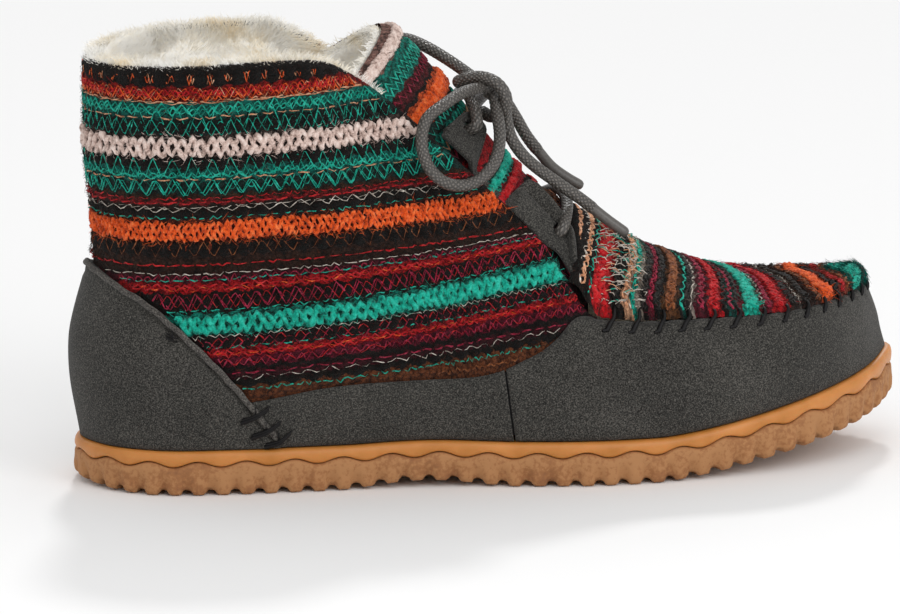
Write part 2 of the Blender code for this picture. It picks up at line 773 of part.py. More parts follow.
def main():
    """Model the boot."""
    for old in list(bpy.data.objects):
        bpy.data.objects.remove(old)
    boot = new_collection("moccasin_boot")
    cutters = new_collection("cutters")
    samples = lug_samples()
    make_outsole(samples, boot)
    make_midsole(samples, boot)
    make_insole(boot)
    make_upper(boot)
    suede = [material(f"suede {number}", (0.075, 0.07, 0.066), 0.95) for number in range(6)]
    make_counter(suede[0], boot)
    make_foxing(LATERAL, "foxing_lateral", suede[1], boot)
    make_foxing(MEDIAL, "foxing_medial", suede[2], boot)
    make_vamp(suede[3], boot)
    make_plug(boot)
    make_tongue(boot)
    make_eyestay(LATERAL, "eyestay_lateral", suede[4], boot, cutters)
    make_eyestay(MEDIAL, "eyestay_medial", suede[5], boot, cutters)
    make_laces(boot)


main()
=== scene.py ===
"""Looks of a right moccasin boot: striped knit, suede, pile lining, laces and rubber sole."""
import math
import random

import bmesh
import bpy
import numpy as np
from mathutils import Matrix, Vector, noise


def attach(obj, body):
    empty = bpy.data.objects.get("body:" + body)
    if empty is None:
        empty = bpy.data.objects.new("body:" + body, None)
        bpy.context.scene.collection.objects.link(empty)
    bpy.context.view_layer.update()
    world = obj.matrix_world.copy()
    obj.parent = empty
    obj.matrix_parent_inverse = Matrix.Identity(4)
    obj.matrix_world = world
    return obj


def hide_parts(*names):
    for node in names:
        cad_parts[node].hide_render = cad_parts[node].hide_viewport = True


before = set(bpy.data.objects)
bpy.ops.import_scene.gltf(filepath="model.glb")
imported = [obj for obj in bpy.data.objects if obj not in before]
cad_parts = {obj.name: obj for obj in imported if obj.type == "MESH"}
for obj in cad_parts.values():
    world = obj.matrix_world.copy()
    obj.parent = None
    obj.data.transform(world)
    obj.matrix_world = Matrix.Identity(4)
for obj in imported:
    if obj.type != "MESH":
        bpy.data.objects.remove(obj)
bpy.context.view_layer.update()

bl_info = {
    "name": "Moccasin Ankle Boot",
    "version": (1, 0, 0),
    "blender": (4, 5, 0),
    "location": "View3D > Sidebar > Boot",
    "description": "Builds a lace-up moccasin ankle boot round its packed solids",
    "category": "Object",
}

MM = 0.001

# Sizes of the solids, repeated from their source
SOLE_LENGTH, BALL_WIDTH, HEEL_SEAT, SOLE_THICKNESS = 0.268, 0.091, 0.0387, 0.0142
TOE_SPRING, TOE_THICKENING, ARCH_LIFT, HEEL_ROLL = 0.015, 0.0014, 0.0022, 0.0018
ARCH_TOP_SHARE, HEEL_ROLL_END, ARCH_START, ARCH_END = 0.35, 0.075, 0.28, 0.51
TOE_BEND, BAND_SWELL_START = 0.675, 0.7
BAND_THICKNESS, BAND_TOE_EXTRA, BAND_INSET, WAVE_HEIGHT = 0.0043, 0.001, 0.0008, 0.0009
LUG_PITCH, LUG_DEPTH = 0.0076, 0.003
COLLAR_HEIGHT, SEAM_HEIGHT, INSTEP_RISE = 0.138, 0.0515, 0.026
FEATHER_INSET, FOOT_SWELL, FIT_GAP = 0.0015, 2.2, 0.0004
SUEDE_THICKNESS, SUEDE_GAP, WALL_THICKNESS = 0.0014, 0.00065, 0.0026
INSOLE_THICKNESS = 0.004
EYELET_DIAMETER, LACE_DIAMETER, TAB_RISE = 0.0062, 0.0039, 0.0026
UPPER_BAR_RISE, LOWER_BAR_RISE, KNOT_BACK_SPAN = 0.005, 0.0034, 0.008
TAB_BASE, TAB_STRIP = 0.022, 0.055
KNIT_DEPTH = SUEDE_THICKNESS + SUEDE_GAP

# The rows of the solids: heel's back to the tip of the toe
NAMES = (
    "sole_x sole_lateral sole_medial top_x top_lateral top_medial rise"
    " low mid high crown_x crown_z guard counter"
).split()
ROWS = np.array([
    (0.000, 0.000, 0.000, 0.011, 0.000, 0.000, 0.965,
     0.041, -0.030, -0.003, 0.47, 0.50, 0.12, 0.462),
    (0.029, 0.214, 0.203, 0.030, 0.187, 0.187, 0.971,
     0.037, -0.031, -0.010, 0.47, 0.50, 0.12, 0.430),
    (0.079, 0.322, 0.305, 0.068, 0.308, 0.308, 0.980,
     0.031, -0.030, -0.012, 0.47, 0.50, 0.12, 0.370),
    (0.163, 0.366, 0.344, 0.148, 0.407, 0.407, 0.994,
     0.026, -0.013, -0.008, 0.47, 0.50, 0.12, 0.185),
    (0.286, 0.380, 0.341, 0.245, 0.407, 0.407, 1.000,
     0.044, 0.012, -0.003, 0.47, 0.50, 0.155, -0.18),
    (0.413, 0.404, 0.314, 0.337, 0.310, 0.310, 0.884,
     0.055, 0.045, 0.022, 0.47, 0.50, 0.176, -0.5),
    (0.510, 0.465, 0.346, 0.490, 0.264, 0.264, 0.457,
     0.045, 0.052, 0.040, 0.28, 0.30, 0.324, -0.5),
    (0.562, 0.497, 0.385, 0.544, 0.308, 0.286, 0.283,
     0.035, 0.050, 0.045, 0.23, 0.43, 0.535, -0.5),
    (0.607, 0.510, 0.429, 0.600, 0.412, 0.360, 0.020,
     0.030, 0.048, 0.040, 0.20, 1.00, 1.0, -0.5),
    (0.697, 0.493, 0.484, 0.697, 0.405, 0.395, 0.000,
     0.032, 0.048, 0.042, 0.00, 0.62, 1.0, -0.5),
    (0.801, 0.434, 0.486, 0.797, 0.389, 0.418, 0.000,
     0.030, 0.042, 0.036, 0.00, 0.30, 1.0, -0.5),
    (0.887, 0.332, 0.432, 0.865, 0.313, 0.363, 0.003,
     0.022, 0.034, 0.030, 0.00, 0.24, 1.0, -0.5),
    (0.947, 0.198, 0.341, 0.915, 0.181, 0.291, 0.006,
     0.012, 0.022, 0.020, 0.00, 0.22, 1.0, -0.5),
    (0.984, 0.038, 0.220, 0.948, 0.055, 0.187, 0.008,
     0.004, 0.010, 0.010, 0.00, 0.20, 1.0, -0.5),
    (1.000, -0.088, 0.088, 0.963, -0.071, 0.071, 0.008,
     0.002, 0.009, 0.009, 0.00, 0.00, 1.0, -0.5),
])
LAST = len(ROWS) - 1
LOOP = 2 * LAST

# Rows of the collar's front corner, of the toe seam's start and of the side seam
CORNER, SEAM_START, SIDE_SEAM = 5, 8, 5.86


def column(lateral, medial=None, mirror=1):
    """A column of the rows as one loop: lateral side to the toe, medial side back."""
    out = ROWS[:, NAMES.index(lateral)]
    back = ROWS[:, NAMES.index(medial or lateral)] * mirror
    return np.concatenate([out, back[-2:0:-1]])


def slopes(values, lengths):
    """Slope of the smooth curve at each row, held back so that it never overshoots a row."""
    before, after = np.roll(lengths, 1), lengths
    left = (values - np.roll(values, 1)) / before
    right = (np.roll(values, -1) - values) / after
    mean = (left * after + right * before) / (before + after)
    limit = 3 * np.minimum(abs(left), abs(right))
    return np.where(left * right > 0, np.clip(mean, -limit, limit), 0)


COLUMNS = {
    "sole_x": column("sole_x") * SOLE_LENGTH - HEEL_SEAT,
    "sole_y": -column("sole_lateral", "sole_medial", -1) * BALL_WIDTH,
    "top_x": column("top_x") * SOLE_LENGTH - HEEL_SEAT,
    "top_y": -column("top_lateral", "top_medial", -1) * BALL_WIDTH,
    "top_z": SEAM_HEIGHT + column("rise") * (COLLAR_HEIGHT - SEAM_HEIGHT),
    "low": column("low") * BALL_WIDTH,
    "mid": column("mid") * BALL_WIDTH,
    "high": column("high") * BALL_WIDTH,
    "crown_x": column("crown_x") * INSTEP_RISE,
    "crown_z": column("crown_z") * INSTEP_RISE,
    "guard": column("guard"),
    "counter": column("counter"),
}
LENGTHS = np.hypot(
    np.roll(COLUMNS["sole_x"], -1) - COLUMNS["sole_x"],
    np.roll(COLUMNS["sole_y"], -1) - COLUMNS["sole_y"],
)
SLOPES = {name: slopes(values, LENGTHS) for name, values in COLUMNS.items()}


def read(name, turn):
    """A column's value on its smooth curve. Turn counts rows: lateral above 0, medial below."""
    turn = np.asarray(turn, float) % LOOP
    start = np.floor(turn).astype(int) % LOOP
    end = (start + 1) % LOOP
    part = turn - np.floor(turn)
    square, cube = part**2, part**3
    values, slope, span = COLUMNS[name], SLOPES[name], LENGTHS[start]
    return (
        (2 * cube - 3 * square + 1) * values[start]
        + (cube - 2 * square + part) * slope[start] * span
        + (3 * square - 2 * cube) * values[end]
        + (cube - square) * slope[end] * span
    )


def smooth(low, high, value):
    """Soft step from 0 at low to 1 at high."""
    part = np.clip((value - low) / (high - low), 0, 1)
    return part * part * (3 - 2 * part)


def at(share):
    """X of a place given as a share of the sole's length."""
    return share * SOLE_LENGTH - HEEL_SEAT


def unit(vectors):
    """Vectors made one metre long."""
    return vectors / (np.linalg.norm(vectors, axis=-1, keepdims=True) + 1e-12)


def toe_share(x):
    """0 before the sole's bend, 1 at the tip of the toe."""
    return np.maximum(0, (x - at(TOE_BEND)) / (at(1) - at(TOE_BEND)))


def arch_wave(x):
    """1 in the middle of the arch, 0 at its ends."""
    arch = np.clip((x - at(ARCH_START)) / (at(ARCH_END) - at(ARCH_START)), 0, 1)
    return np.sin(np.pi * arch) ** 2


def sole_bottom(x):
    """Height of the tread."""
    heel = np.maximum(0, (at(HEEL_ROLL_END) - x) / (at(HEEL_ROLL_END) - at(0)))
    return TOE_SPRING * toe_share(x) ** 1.3 + HEEL_ROLL * heel**2 + ARCH_LIFT * arch_wave(x)


def sole_top(x):
    """Height of the line where the upper meets the sole."""
    toe = toe_share(x)
    lift = TOE_SPRING * toe**1.3 + TOE_THICKENING * smooth(0, 1, toe)
    return SOLE_THICKNESS + lift + ARCH_TOP_SHARE * ARCH_LIFT * arch_wave(x)


def band_bottom(x):
    """Height of the line between the smooth band and the tread rubber."""
    extra = BAND_TOE_EXTRA * smooth(at(BAND_SWELL_START), at(1), x)
    return sole_top(x) - BAND_THICKNESS - extra


def stack(*axes):
    """Points from their coordinates."""
    return np.stack(np.broadcast_arrays(*axes), -1)


def outward(turn):
    """Unit vectors in plan that point out of the sole's outline."""
    step = 0.02
    dx = read("sole_x", turn + step) - read("sole_x", turn - step)
    dy = read("sole_y", turn + step) - read("sole_y", turn - step)
    return unit(stack(dy, -dx, 0 * dx))


def rim(turn, inset):
    """Points of the sole's outline in plan, moved in by inset."""
    points = stack(read("sole_x", turn), read("sole_y", turn), 0 * turn)
    return points - outward(turn) * np.asarray(inset)[..., None]


def blend(a, b, c, d, share):
    """Smooth way from b to c at a share of it, on a curve that also meets a and d."""
    square = (2 * a - 5 * b + 4 * c - d) * share**2
    return 0.5 * (2 * b + (c - a) * share + square + (3 * b - a - 3 * c + d) * share**3)


def bulge(turn, part):
    """How far the wall stands out of the straight line from sole to top edge."""
    low, mid, high = read("low", turn), read("mid", turn), read("high", turn)
    levels = np.stack([-FOOT_SWELL * low, 0 * low, low, mid, high, 0 * low, -high])
    place = np.clip(part * 4, 0, 3.999)
    start = place.astype(int)
    near = [np.take_along_axis(levels, (start + k)[None], 0)[0] for k in range(4)]
    return blend(*near, place - start)


def wall(turn, part):
    """Points of the upper's outer form: part 0 is the feather line, 1 the top edge."""
    turn, part = np.broadcast_arrays(np.asarray(turn, float), np.asarray(part, float))
    foot = rim(turn, BAND_INSET + FEATHER_INSET)
    foot[..., 2] = sole_top(foot[..., 0]) + FIT_GAP
    top = stack(read("top_x", turn), read("top_y", turn), read("top_z", turn))
    return foot + (top - foot) * part[..., None] + outward(turn) * bulge(turn, part)[..., None]


def crown(row):
    """The way the instep's middle stands off the line between its two edges."""
    return stack(read("crown_x", row), 0 * row, read("crown_z", row))


def lid(row, across):
    """Points over the instep: across 0 is the lateral top edge, 1 the medial one."""
    row, across = np.broadcast_arrays(np.asarray(row, float), np.asarray(across, float))
    one = np.ones_like(row)
    edge = wall(row, one) * (1 - across)[..., None] + wall(-row, one) * across[..., None]
    share = np.maximum(0, 4 * across * (1 - across)) ** 0.8
    return edge + crown(row) * share[..., None]


def girth(row, place):
    """Points on the way round a row: 0 to 1 lateral wall, 1 to 2 instep, 2 to 3 medial wall."""
    row, place = np.broadcast_arrays(np.asarray(row, float), np.asarray(place, float))
    side = np.where((place < 1)[..., None], wall(row, place), wall(-row, 3 - place))
    return np.where(((place >= 1) & (place <= 2))[..., None], lid(row, place - 1), side)


def raised(form, a, b, height, steps=(0.02, 0.01)):
    """Points of a form moved along its own normal."""
    a, b = np.broadcast_arrays(np.asarray(a, float), np.asarray(b, float))
    along = form(a + steps[0], b) - form(a - steps[0], b)
    over = form(a, b + steps[1]) - form(a, b - steps[1])
    return form(a, b) + unit(np.cross(along, over)) * np.asarray(height)[..., None]


def point_over(form, a, b, height):
    """One point at a height over a form."""
    return raised(form, np.array([a]), np.array([b]), np.array([height]))[0]


def lumps(points, size, shift=0.0):
    """Soft noise from -1 to 1 at each point, with lumps of a size."""
    push = Vector((shift, shift, shift))
    return np.array([noise.noise(Vector(point) / size + push) for point in points])


def lengths_along(path):
    """Length of the way along a path to each of its points."""
    return np.r_[0, np.cumsum(np.linalg.norm(np.diff(path, axis=0), axis=1))]


def resample(path, spacing):
    """The same path with its points a spacing apart."""
    path = np.asarray(path, float)
    steps = lengths_along(path)
    places = np.linspace(0, steps[-1], max(3, round(steps[-1] / spacing) + 1))
    return np.stack([np.interp(places, steps, path[:, axis]) for axis in range(3)], 1)


def curve_through(points, spacing):
    """Points read from a smooth curve through a route's own points."""
    given = np.asarray(points, float)
    given = np.vstack([2 * given[0] - given[1], given, 2 * given[-1] - given[-2]])
    fine = []
    for near in zip(given, given[1:], given[2:], given[3:]):
        fine += [blend(*near, share) for share in np.arange(12) / 12]
    return resample(fine + [given[-2]], spacing)


# Meshes


def add_patch(bm, count_a, count_b, form):
    """A grid of faces. Form takes shares a and b and gives points and two pattern millimetres."""
    made = bmesh.ops.create_grid(bm, x_segments=count_a, y_segments=count_b, size=1)["verts"]
    spots = np.array([vert.co[:2] for vert in made]) / 2 + 0.5
    spots = np.round(spots * (count_a, count_b)) / (count_a, count_b)
    points, us, vs = form(spots[:, 0], spots[:, 1])
    layer = bm.loops.layers.uv.verify()
    for vert, point, u, v in zip(made, points, us, vs):
        vert.co = point
        for loop in vert.link_loops:
            loop[layer].uv = (u, v)
    return made


def add_tube(bm, path, radius, sides, relief=None, round_ends=True):
    """A closed tube along a path. Relief takes the angle and the length along it."""
    path = np.asarray(path, float)
    count = len(path) - 1
    tangents = unit(np.gradient(path, axis=0))
    normal = unit(np.cross(tangents[0], (0.31, 0.55, 0.77)))
    normals = [normal]
    for tangent in tangents[1:]:
        normal = unit(normals[-1] - tangent * np.dot(normals[-1], tangent))
        normals.append(normal)
    normals = np.array(normals)
    others = np.cross(tangents, normals)
    lengths = lengths_along(path)
    radii = np.broadcast_to(radius, lengths.shape)
    if round_ends:
        ends = np.minimum(lengths, lengths[-1] - lengths) / np.maximum(radii, 1e-9)
        radii = radii * np.sqrt(np.maximum(0, 1 - np.maximum(0, 1 - ends) ** 2))

    def form(a, b):
        spot = np.round(b * count).astype(int)
        angle = 2 * np.pi * a
        reach = radii[spot]
        if relief is not None:
            reach = reach * (1 + relief(angle, lengths[spot]))
        ring = normals[spot] * np.cos(angle)[:, None] + others[spot] * np.sin(angle)[:, None]
        return path[spot] + ring * reach[:, None], angle * radii.max() / MM, lengths[spot] / MM

    return add_patch(bm, sides, count, form)


def join_boot(name, mesh):
    """An object of a mesh that rides on the boot."""
    made = bpy.data.objects.new(name, mesh)
    bpy.context.scene.collection.objects.link(made)
    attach(made, "root")
    return made


def add_piece(name, bm, finishes, nodes=(), merge=0.01 * MM, outward_faces=True):
    """Merge the mesh's doubles and make it a piece, in place of the nodes named."""
    bmesh.ops.remove_doubles(bm, verts=bm.verts, dist=merge)
    bmesh.ops.dissolve_degenerate(bm, edges=bm.edges, dist=0.001 * MM)
    if outward_faces:
        bmesh.ops.recalc_face_normals(bm, faces=bm.faces)
    mesh = bpy.data.meshes.new(name)
    bm.to_mesh(mesh)
    bm.free()
    mesh.shade_smooth()
    for finish in finishes if isinstance(finishes, list) else [finishes]:
        mesh.materials.append(finish)
    made = join_boot(name, mesh)
    if nodes:
        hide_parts(*nodes)
    return made


def add_sheet(name, columns, rows, form, finish, nodes=(), merge=0.01 * MM, closed=False):
    """A piece made of one grid of faces, which is open unless it says closed."""
    bm = bmesh.new()
    add_patch(bm, columns, rows, form)
    return add_piece(name, bm, finish, nodes, merge, closed)


def thicken(made, thickness, offset=-1.0):
    """Give a sheet its thickness."""
    solid = made.modifiers.new("Thickness", "SOLIDIFY")
    solid.thickness = thickness
    solid.offset = offset
    solid.use_even_offset = True


def add_strands(name, routes, finishes, depth=MM, sides=1, ribbon=False):
    """Many thin strands as one mesh, round or, for hairs, flat ribbons.

    A route is its points, its radii as shares of the depth, its finish's number and the place
    in the pattern that colours it, or None where its finish needs no pattern."""
    line = bpy.data.curves.new(name, "CURVE")
    line.dimensions = "3D"
    if ribbon:
        line.extrude = depth / 2
    else:
        line.bevel_depth = depth
        line.bevel_resolution = sides
        line.use_fill_caps = True
    for finish in finishes:
        line.materials.append(finish)
    for points, radii, finish, _ in routes:
        spline = line.splines.new("POLY")
        spline.points.add(len(points) - 1)
        spline.points.foreach_set("co", np.c_[points, np.ones(len(points))].ravel())
        spline.points.foreach_set("radius", np.broadcast_to(radii, len(points)).astype(float))
        spline.material_index = finish
        spline.use_smooth = True
    temporary = bpy.data.objects.new(name + "_line", line)
    bpy.context.scene.collection.objects.link(temporary)
    mesh = bpy.data.meshes.new_from_object(temporary.evaluated_get(
        bpy.context.evaluated_depsgraph_get()))
    mesh.name = name
    bpy.data.objects.remove(temporary)
    if routes[0][3] is not None:
        around = len(mesh.vertices) / sum(len(route[0]) for route in routes)
        spots = np.concatenate([
            np.tile(route[3], (round(len(route[0]) * around), 1)) for route in routes
        ])
        layer = mesh.uv_layers[0] if mesh.uv_layers else mesh.uv_layers.new(name="UVMap")
        corners = np.empty(len(mesh.loops), int)
        mesh.loops.foreach_get("vertex_index", corners)
        layer.data.foreach_set("uv", spots[corners].ravel())
    mesh.shade_smooth()
    return join_boot(name, mesh)


# Finishes


def linear(code):
    """Linear colour of an sRGB hex value."""
    parts = [int(code[i : i + 2], 16) / 255 for i in (1, 3, 5)]
    parts = [p / 12.92 if p <= 0.04045 else ((p + 0.055) / 1.055) ** 2.4 for p in parts]
    return (*parts, 1.0)


def add_node(tree, kind, links=None, stops=None, **settings):
    """Add a node with its settings, its input values or links, and its ramp's colours."""
    node = tree.nodes.new(kind)
    for name, value in settings.items():
        setattr(node, name, value)
    for name, value in (links or {}).items():
        socket = node.inputs[name]
        if isinstance(value, bpy.types.NodeSocket):
            tree.links.new(value, socket)
        else:
            socket.default_value = value
    if stops:
        ramp = node.color_ramp
        while len(ramp.elements) > 1:
            ramp.elements.remove(ramp.elements[-1])
        ramp.elements[0].position, ramp.elements[0].color = stops[0]
        for position, color in stops[1:]:
            ramp.elements.new(position).color = color
    return node


def new_finish(name, roughness, **fixed):
    """An empty principled material: its node tree and its shader."""
    made = bpy.data.materials.new(name)
    made.use_nodes = True
    shader = made.node_tree.nodes["Principled BSDF"]
    shader.inputs["Roughness"].default_value = roughness
    for socket, value in fixed.items():
        shader.inputs[socket.replace("_", " ")].default_value = value
    return made, made.node_tree, shader


def shade(tree, shader, color, height, strength, distance):
    """Join a colour and a height pattern to a shader."""
    tree.links.new(color, shader.inputs["Base Color"])
    bump = add_node(
        tree, "ShaderNodeBump", {"Height": height, "Strength": strength, "Distance": distance}
    )
    tree.links.new(bump.outputs[0], shader.inputs["Normal"])


def wool_yarn(name, code, dark, light):
    """Brushed wool yarn: a matt, fuzzy strand, with painted light on its hairs and painted shade
    between them.
    """
    made, tree, shader = new_finish(
        name, 0.95, Specular_IOR_Level=0.08, Sheen_Weight=0.12, Sheen_Roughness=0.5
    )
    place = add_node(tree, "ShaderNodeTexCoord").outputs["Object"]
    # Hairs of 0.7 mm in clumps of 2.4 mm, coarser than the real ones so that they show
    fuzz = add_node(tree, "ShaderNodeTexNoise",
                    {"Vector": place, "Scale": 1400, "Detail": 3, "Roughness": 0.7})
    clump = add_node(tree, "ShaderNodeTexNoise", {"Vector": place, "Scale": 420, "Detail": 2})
    mixed = add_node(tree, "ShaderNodeMath", {0: fuzz.outputs[0], 1: clump.outputs[0]},
                     operation="ADD")
    halved = add_node(tree, "ShaderNodeMath", {0: mixed.outputs[0], 1: 0.5}, operation="MULTIPLY")
    # The colour follows the bump's height: painted shade between the hairs, painted light on them.
    tint = add_node(tree, "ShaderNodeValToRGB", {"Fac": halved.outputs[0]}, stops=[
        (0.36, linear(dark)), (0.5, linear(code)), (0.66, linear(light))])
    shade(tree, shader, tint.outputs[0], mixed.outputs[0], 0.9, 0.6 * MM)
    return made


def striped_knit(name, chart, ovals=()):
    """Striped jersey of mixed wool: rough, matt, flecked yarns with soft jagged stripe edges.

    The chart lists the lower end of each stripe in mm and its colour, from low to high, and the
    pattern's coordinates are the millimetre round and the stripe millimetre, so that its loops
    of 1.2 mm and fibres of 0.4 mm have their real size. Ovals are the levels and half heights
    of rows of black knots, one in each tooth of the pattern."""
    made, tree, shader = new_finish(name, 0.95, Specular_IOR_Level=0.05, Sheen_Weight=0.06)
    place = add_node(tree, "ShaderNodeTexCoord").outputs["UV"]
    split = add_node(tree, "ShaderNodeSeparateXYZ", {0: place})
    tooth = add_node(tree, "ShaderNodeMath", {0: split.outputs[0], 1: TOOTH / 2},
                     operation="PINGPONG")
    stray = add_node(tree, "ShaderNodeTexNoise",
                     {"Vector": place, "Scale": 1.1, "Detail": 3, "Roughness": 0.7})
    shift = add_node(tree, "ShaderNodeMath",
                     {0: tooth.outputs[0], 1: 0.42, 2: split.outputs[1]}, operation="MULTIPLY_ADD")
    level = add_node(tree, "ShaderNodeMath",
                     {0: stray.outputs[0], 1: 2.6, 2: shift.outputs[0]}, operation="MULTIPLY_ADD")
    level = add_node(tree, "ShaderNodeMath", {0: level.outputs[0], 1: 1.95}, operation="SUBTRACT")
    low, high = chart[0][0], chart[-1][0] + 6
    color = None
    for group in (chart[start : start + 30] for start in range(0, len(chart), 30)):
        share = add_node(tree, "ShaderNodeMapRange", {
            "Value": level.outputs[0], "From Min": low, "From Max": high})
        ramp = add_node(tree, "ShaderNodeValToRGB", {"Fac": share.outputs[0]}, stops=[
            ((end - low) / (high - low), linear(code)) for end, code in group])
        ramp.color_ramp.interpolation = "CONSTANT"
        if color is None:
            color = ramp.outputs[0]
            continue
        above = add_node(tree, "ShaderNodeMath", {0: level.outputs[0], 1: group[0][0]},
                         operation="GREATER_THAN")
        color = add_node(tree, "ShaderNodeMix", {0: above.outputs[0], 6: color,
                                                 7: ramp.outputs[0]}, data_type="RGBA").outputs[2]
    fibre = add_node(tree, "ShaderNodeTexNoise",
                     {"Vector": place, "Scale": 2.3, "Detail": 4, "Roughness": 0.75})
    loops = add_node(tree, "ShaderNodeTexVoronoi", {"Vector": place, "Scale": 0.85})
    relief = add_node(tree, "ShaderNodeMath",
                      {0: loops.outputs[0], 1: -0.42, 2: fibre.outputs[0]},
                      operation="MULTIPLY_ADD")
    # Painted shade between the knit's loops and fibres and painted light on their tops: the colour
    # follows the bump's height.
    relief_shade = add_node(tree, "ShaderNodeMapRange", {
        "Value": relief.outputs[0], "From Min": 0.12, "From Max": 0.55,
        "To Min": 0.12, "To Max": 1.75})
    shaded = add_node(tree, "ShaderNodeVectorMath",
                      {0: color, 1: relief_shade.outputs[0]}, operation="MULTIPLY").outputs[0]
    if ovals:
        stops = [(0, (0, 0, 0, 1))]
        for centre, half in sorted(ovals):
            for end, share in ((centre - half, 0), (centre, 1), (centre + half, 0)):
                stops.append(((end - low) / (high - low), (share, share, share, 1)))
        share = add_node(tree, "ShaderNodeMapRange", {
            "Value": split.outputs[1], "From Min": low, "From Max": high})
        rows = add_node(tree, "ShaderNodeValToRGB", {"Fac": share.outputs[0]}, stops=stops)
        side = add_node(tree, "ShaderNodeMapRange", {
            "Value": tooth.outputs[0], "From Min": 0.4, "From Max": TOOTH / 2 - 0.5,
            "To Min": 1.3, "To Max": 0})
        depth = add_node(tree, "ShaderNodeMath", {0: rows.outputs[0], 1: side.outputs[0]},
                         operation="SUBTRACT")
        depth = add_node(tree, "ShaderNodeMath",
                         {0: stray.outputs[0], 1: 0.8, 2: depth.outputs[0]},
                         operation="MULTIPLY_ADD")
        black = add_node(tree, "ShaderNodeMapRange", {
            "Value": depth.outputs[0], "From Min": 0.4, "From Max": 0.52})
        shaded = add_node(tree, "ShaderNodeMix", {
            0: black.outputs[0], 6: shaded, 7: linear("#0F0D0C")}, data_type="RGBA").outputs[2]
    fleck = add_node(tree, "ShaderNodeTexNoise",
                     {"Vector": place, "Scale": 3.1, "Detail": 2, "Roughness": 0.8})
    chosen = add_node(tree, "ShaderNodeMapRange", {
        "Value": fleck.outputs[0], "From Min": 0.62, "From Max": 0.68, "To Max": 0.5})
    hue = add_node(tree, "ShaderNodeTexNoise", {"Vector": place, "Scale": 1.1})
    flecks = add_node(tree, "ShaderNodeValToRGB", {"Fac": hue.outputs[0]}, stops=[
        (0.42, linear("#8A4A30")), (0.5, linear("#8E3A30")), (0.58, linear("#2F6F62"))])
    color = add_node(tree, "ShaderNodeMix", {
        0: chosen.outputs[0], 6: shaded, 7: flecks.outputs[0]}, data_type="RGBA")
    shade(tree, shader, color.outputs[2], relief.outputs[0], 1.0, 1.2 * MM)
    return made


def napped_suede(name, color, dark="#181716", light="#625F5A"):
    """Charcoal suede: split leather with a sanded nap, matt with fine light and dark speckles."""
    made, tree, shader = new_finish(
        name, 0.95, Specular_IOR_Level=0.12, Sheen_Weight=0.08, Sheen_Roughness=0.6
    )
    place = add_node(tree, "ShaderNodeTexCoord").outputs["Object"]
    # Speckles of 0.4 mm, coarser than the real nap so that they show, on patches of 25 mm
    nap = add_node(tree, "ShaderNodeTexNoise",
                   {"Vector": place, "Scale": 2300, "Detail": 2, "Roughness": 0.7})
    broad = add_node(tree, "ShaderNodeTexNoise", {"Vector": place, "Scale": 40, "Detail": 2})
    mixed = add_node(tree, "ShaderNodeMath",
                     {0: broad.outputs[0], 1: 0.14, 2: nap.outputs[0]}, operation="MULTIPLY_ADD")
    tint = add_node(tree, "ShaderNodeValToRGB", {"Fac": mixed.outputs[0]}, stops=[
        (0.42, linear(dark)), (0.57, color), (0.78, linear(light))])
    shade(tree, shader, tint.outputs[0], nap.outputs[0], 0.5, 0.3 * MM)
    return made


def cream_pile(name, color):
    """Sheepskin-like pile: soft cream hair, warm and darker down between its locks."""
    made, tree, shader = new_finish(
        name, 0.95, Specular_IOR_Level=0.05, Sheen_Weight=0.55, Sheen_Roughness=0.6
    )
    place = add_node(tree, "ShaderNodeTexCoord").outputs["Object"]
    # Hairs of 1.1 mm, coarser than the real ones so that they show, in locks of 13 mm
    hair = add_node(tree, "ShaderNodeTexNoise",
                    {"Vector": place, "Scale": 900, "Detail": 4, "Roughness": 0.7})
    lock = add_node(tree, "ShaderNodeTexNoise", {"Vector": place, "Scale": 75, "Detail": 3})
    mixed = add_node(tree, "ShaderNodeMath",
                     {0: lock.outputs[0], 1: 1.6, 2: hair.outputs[0]}, operation="MULTIPLY_ADD")
    share = add_node(tree, "ShaderNodeMapRange", {
        "Value": mixed.outputs[0], "From Min": 0.85, "From Max": 1.6})
    tint = add_node(tree, "ShaderNodeValToRGB", {"Fac": share.outputs[0]}, stops=[
        (0.08, linear("#F2DFBB")), (0.42, color), (0.8, linear("#FFFDF8"))])
    shade(tree, shader, tint.outputs[0], hair.outputs[0], 0.25, 0.5 * MM)
    return made


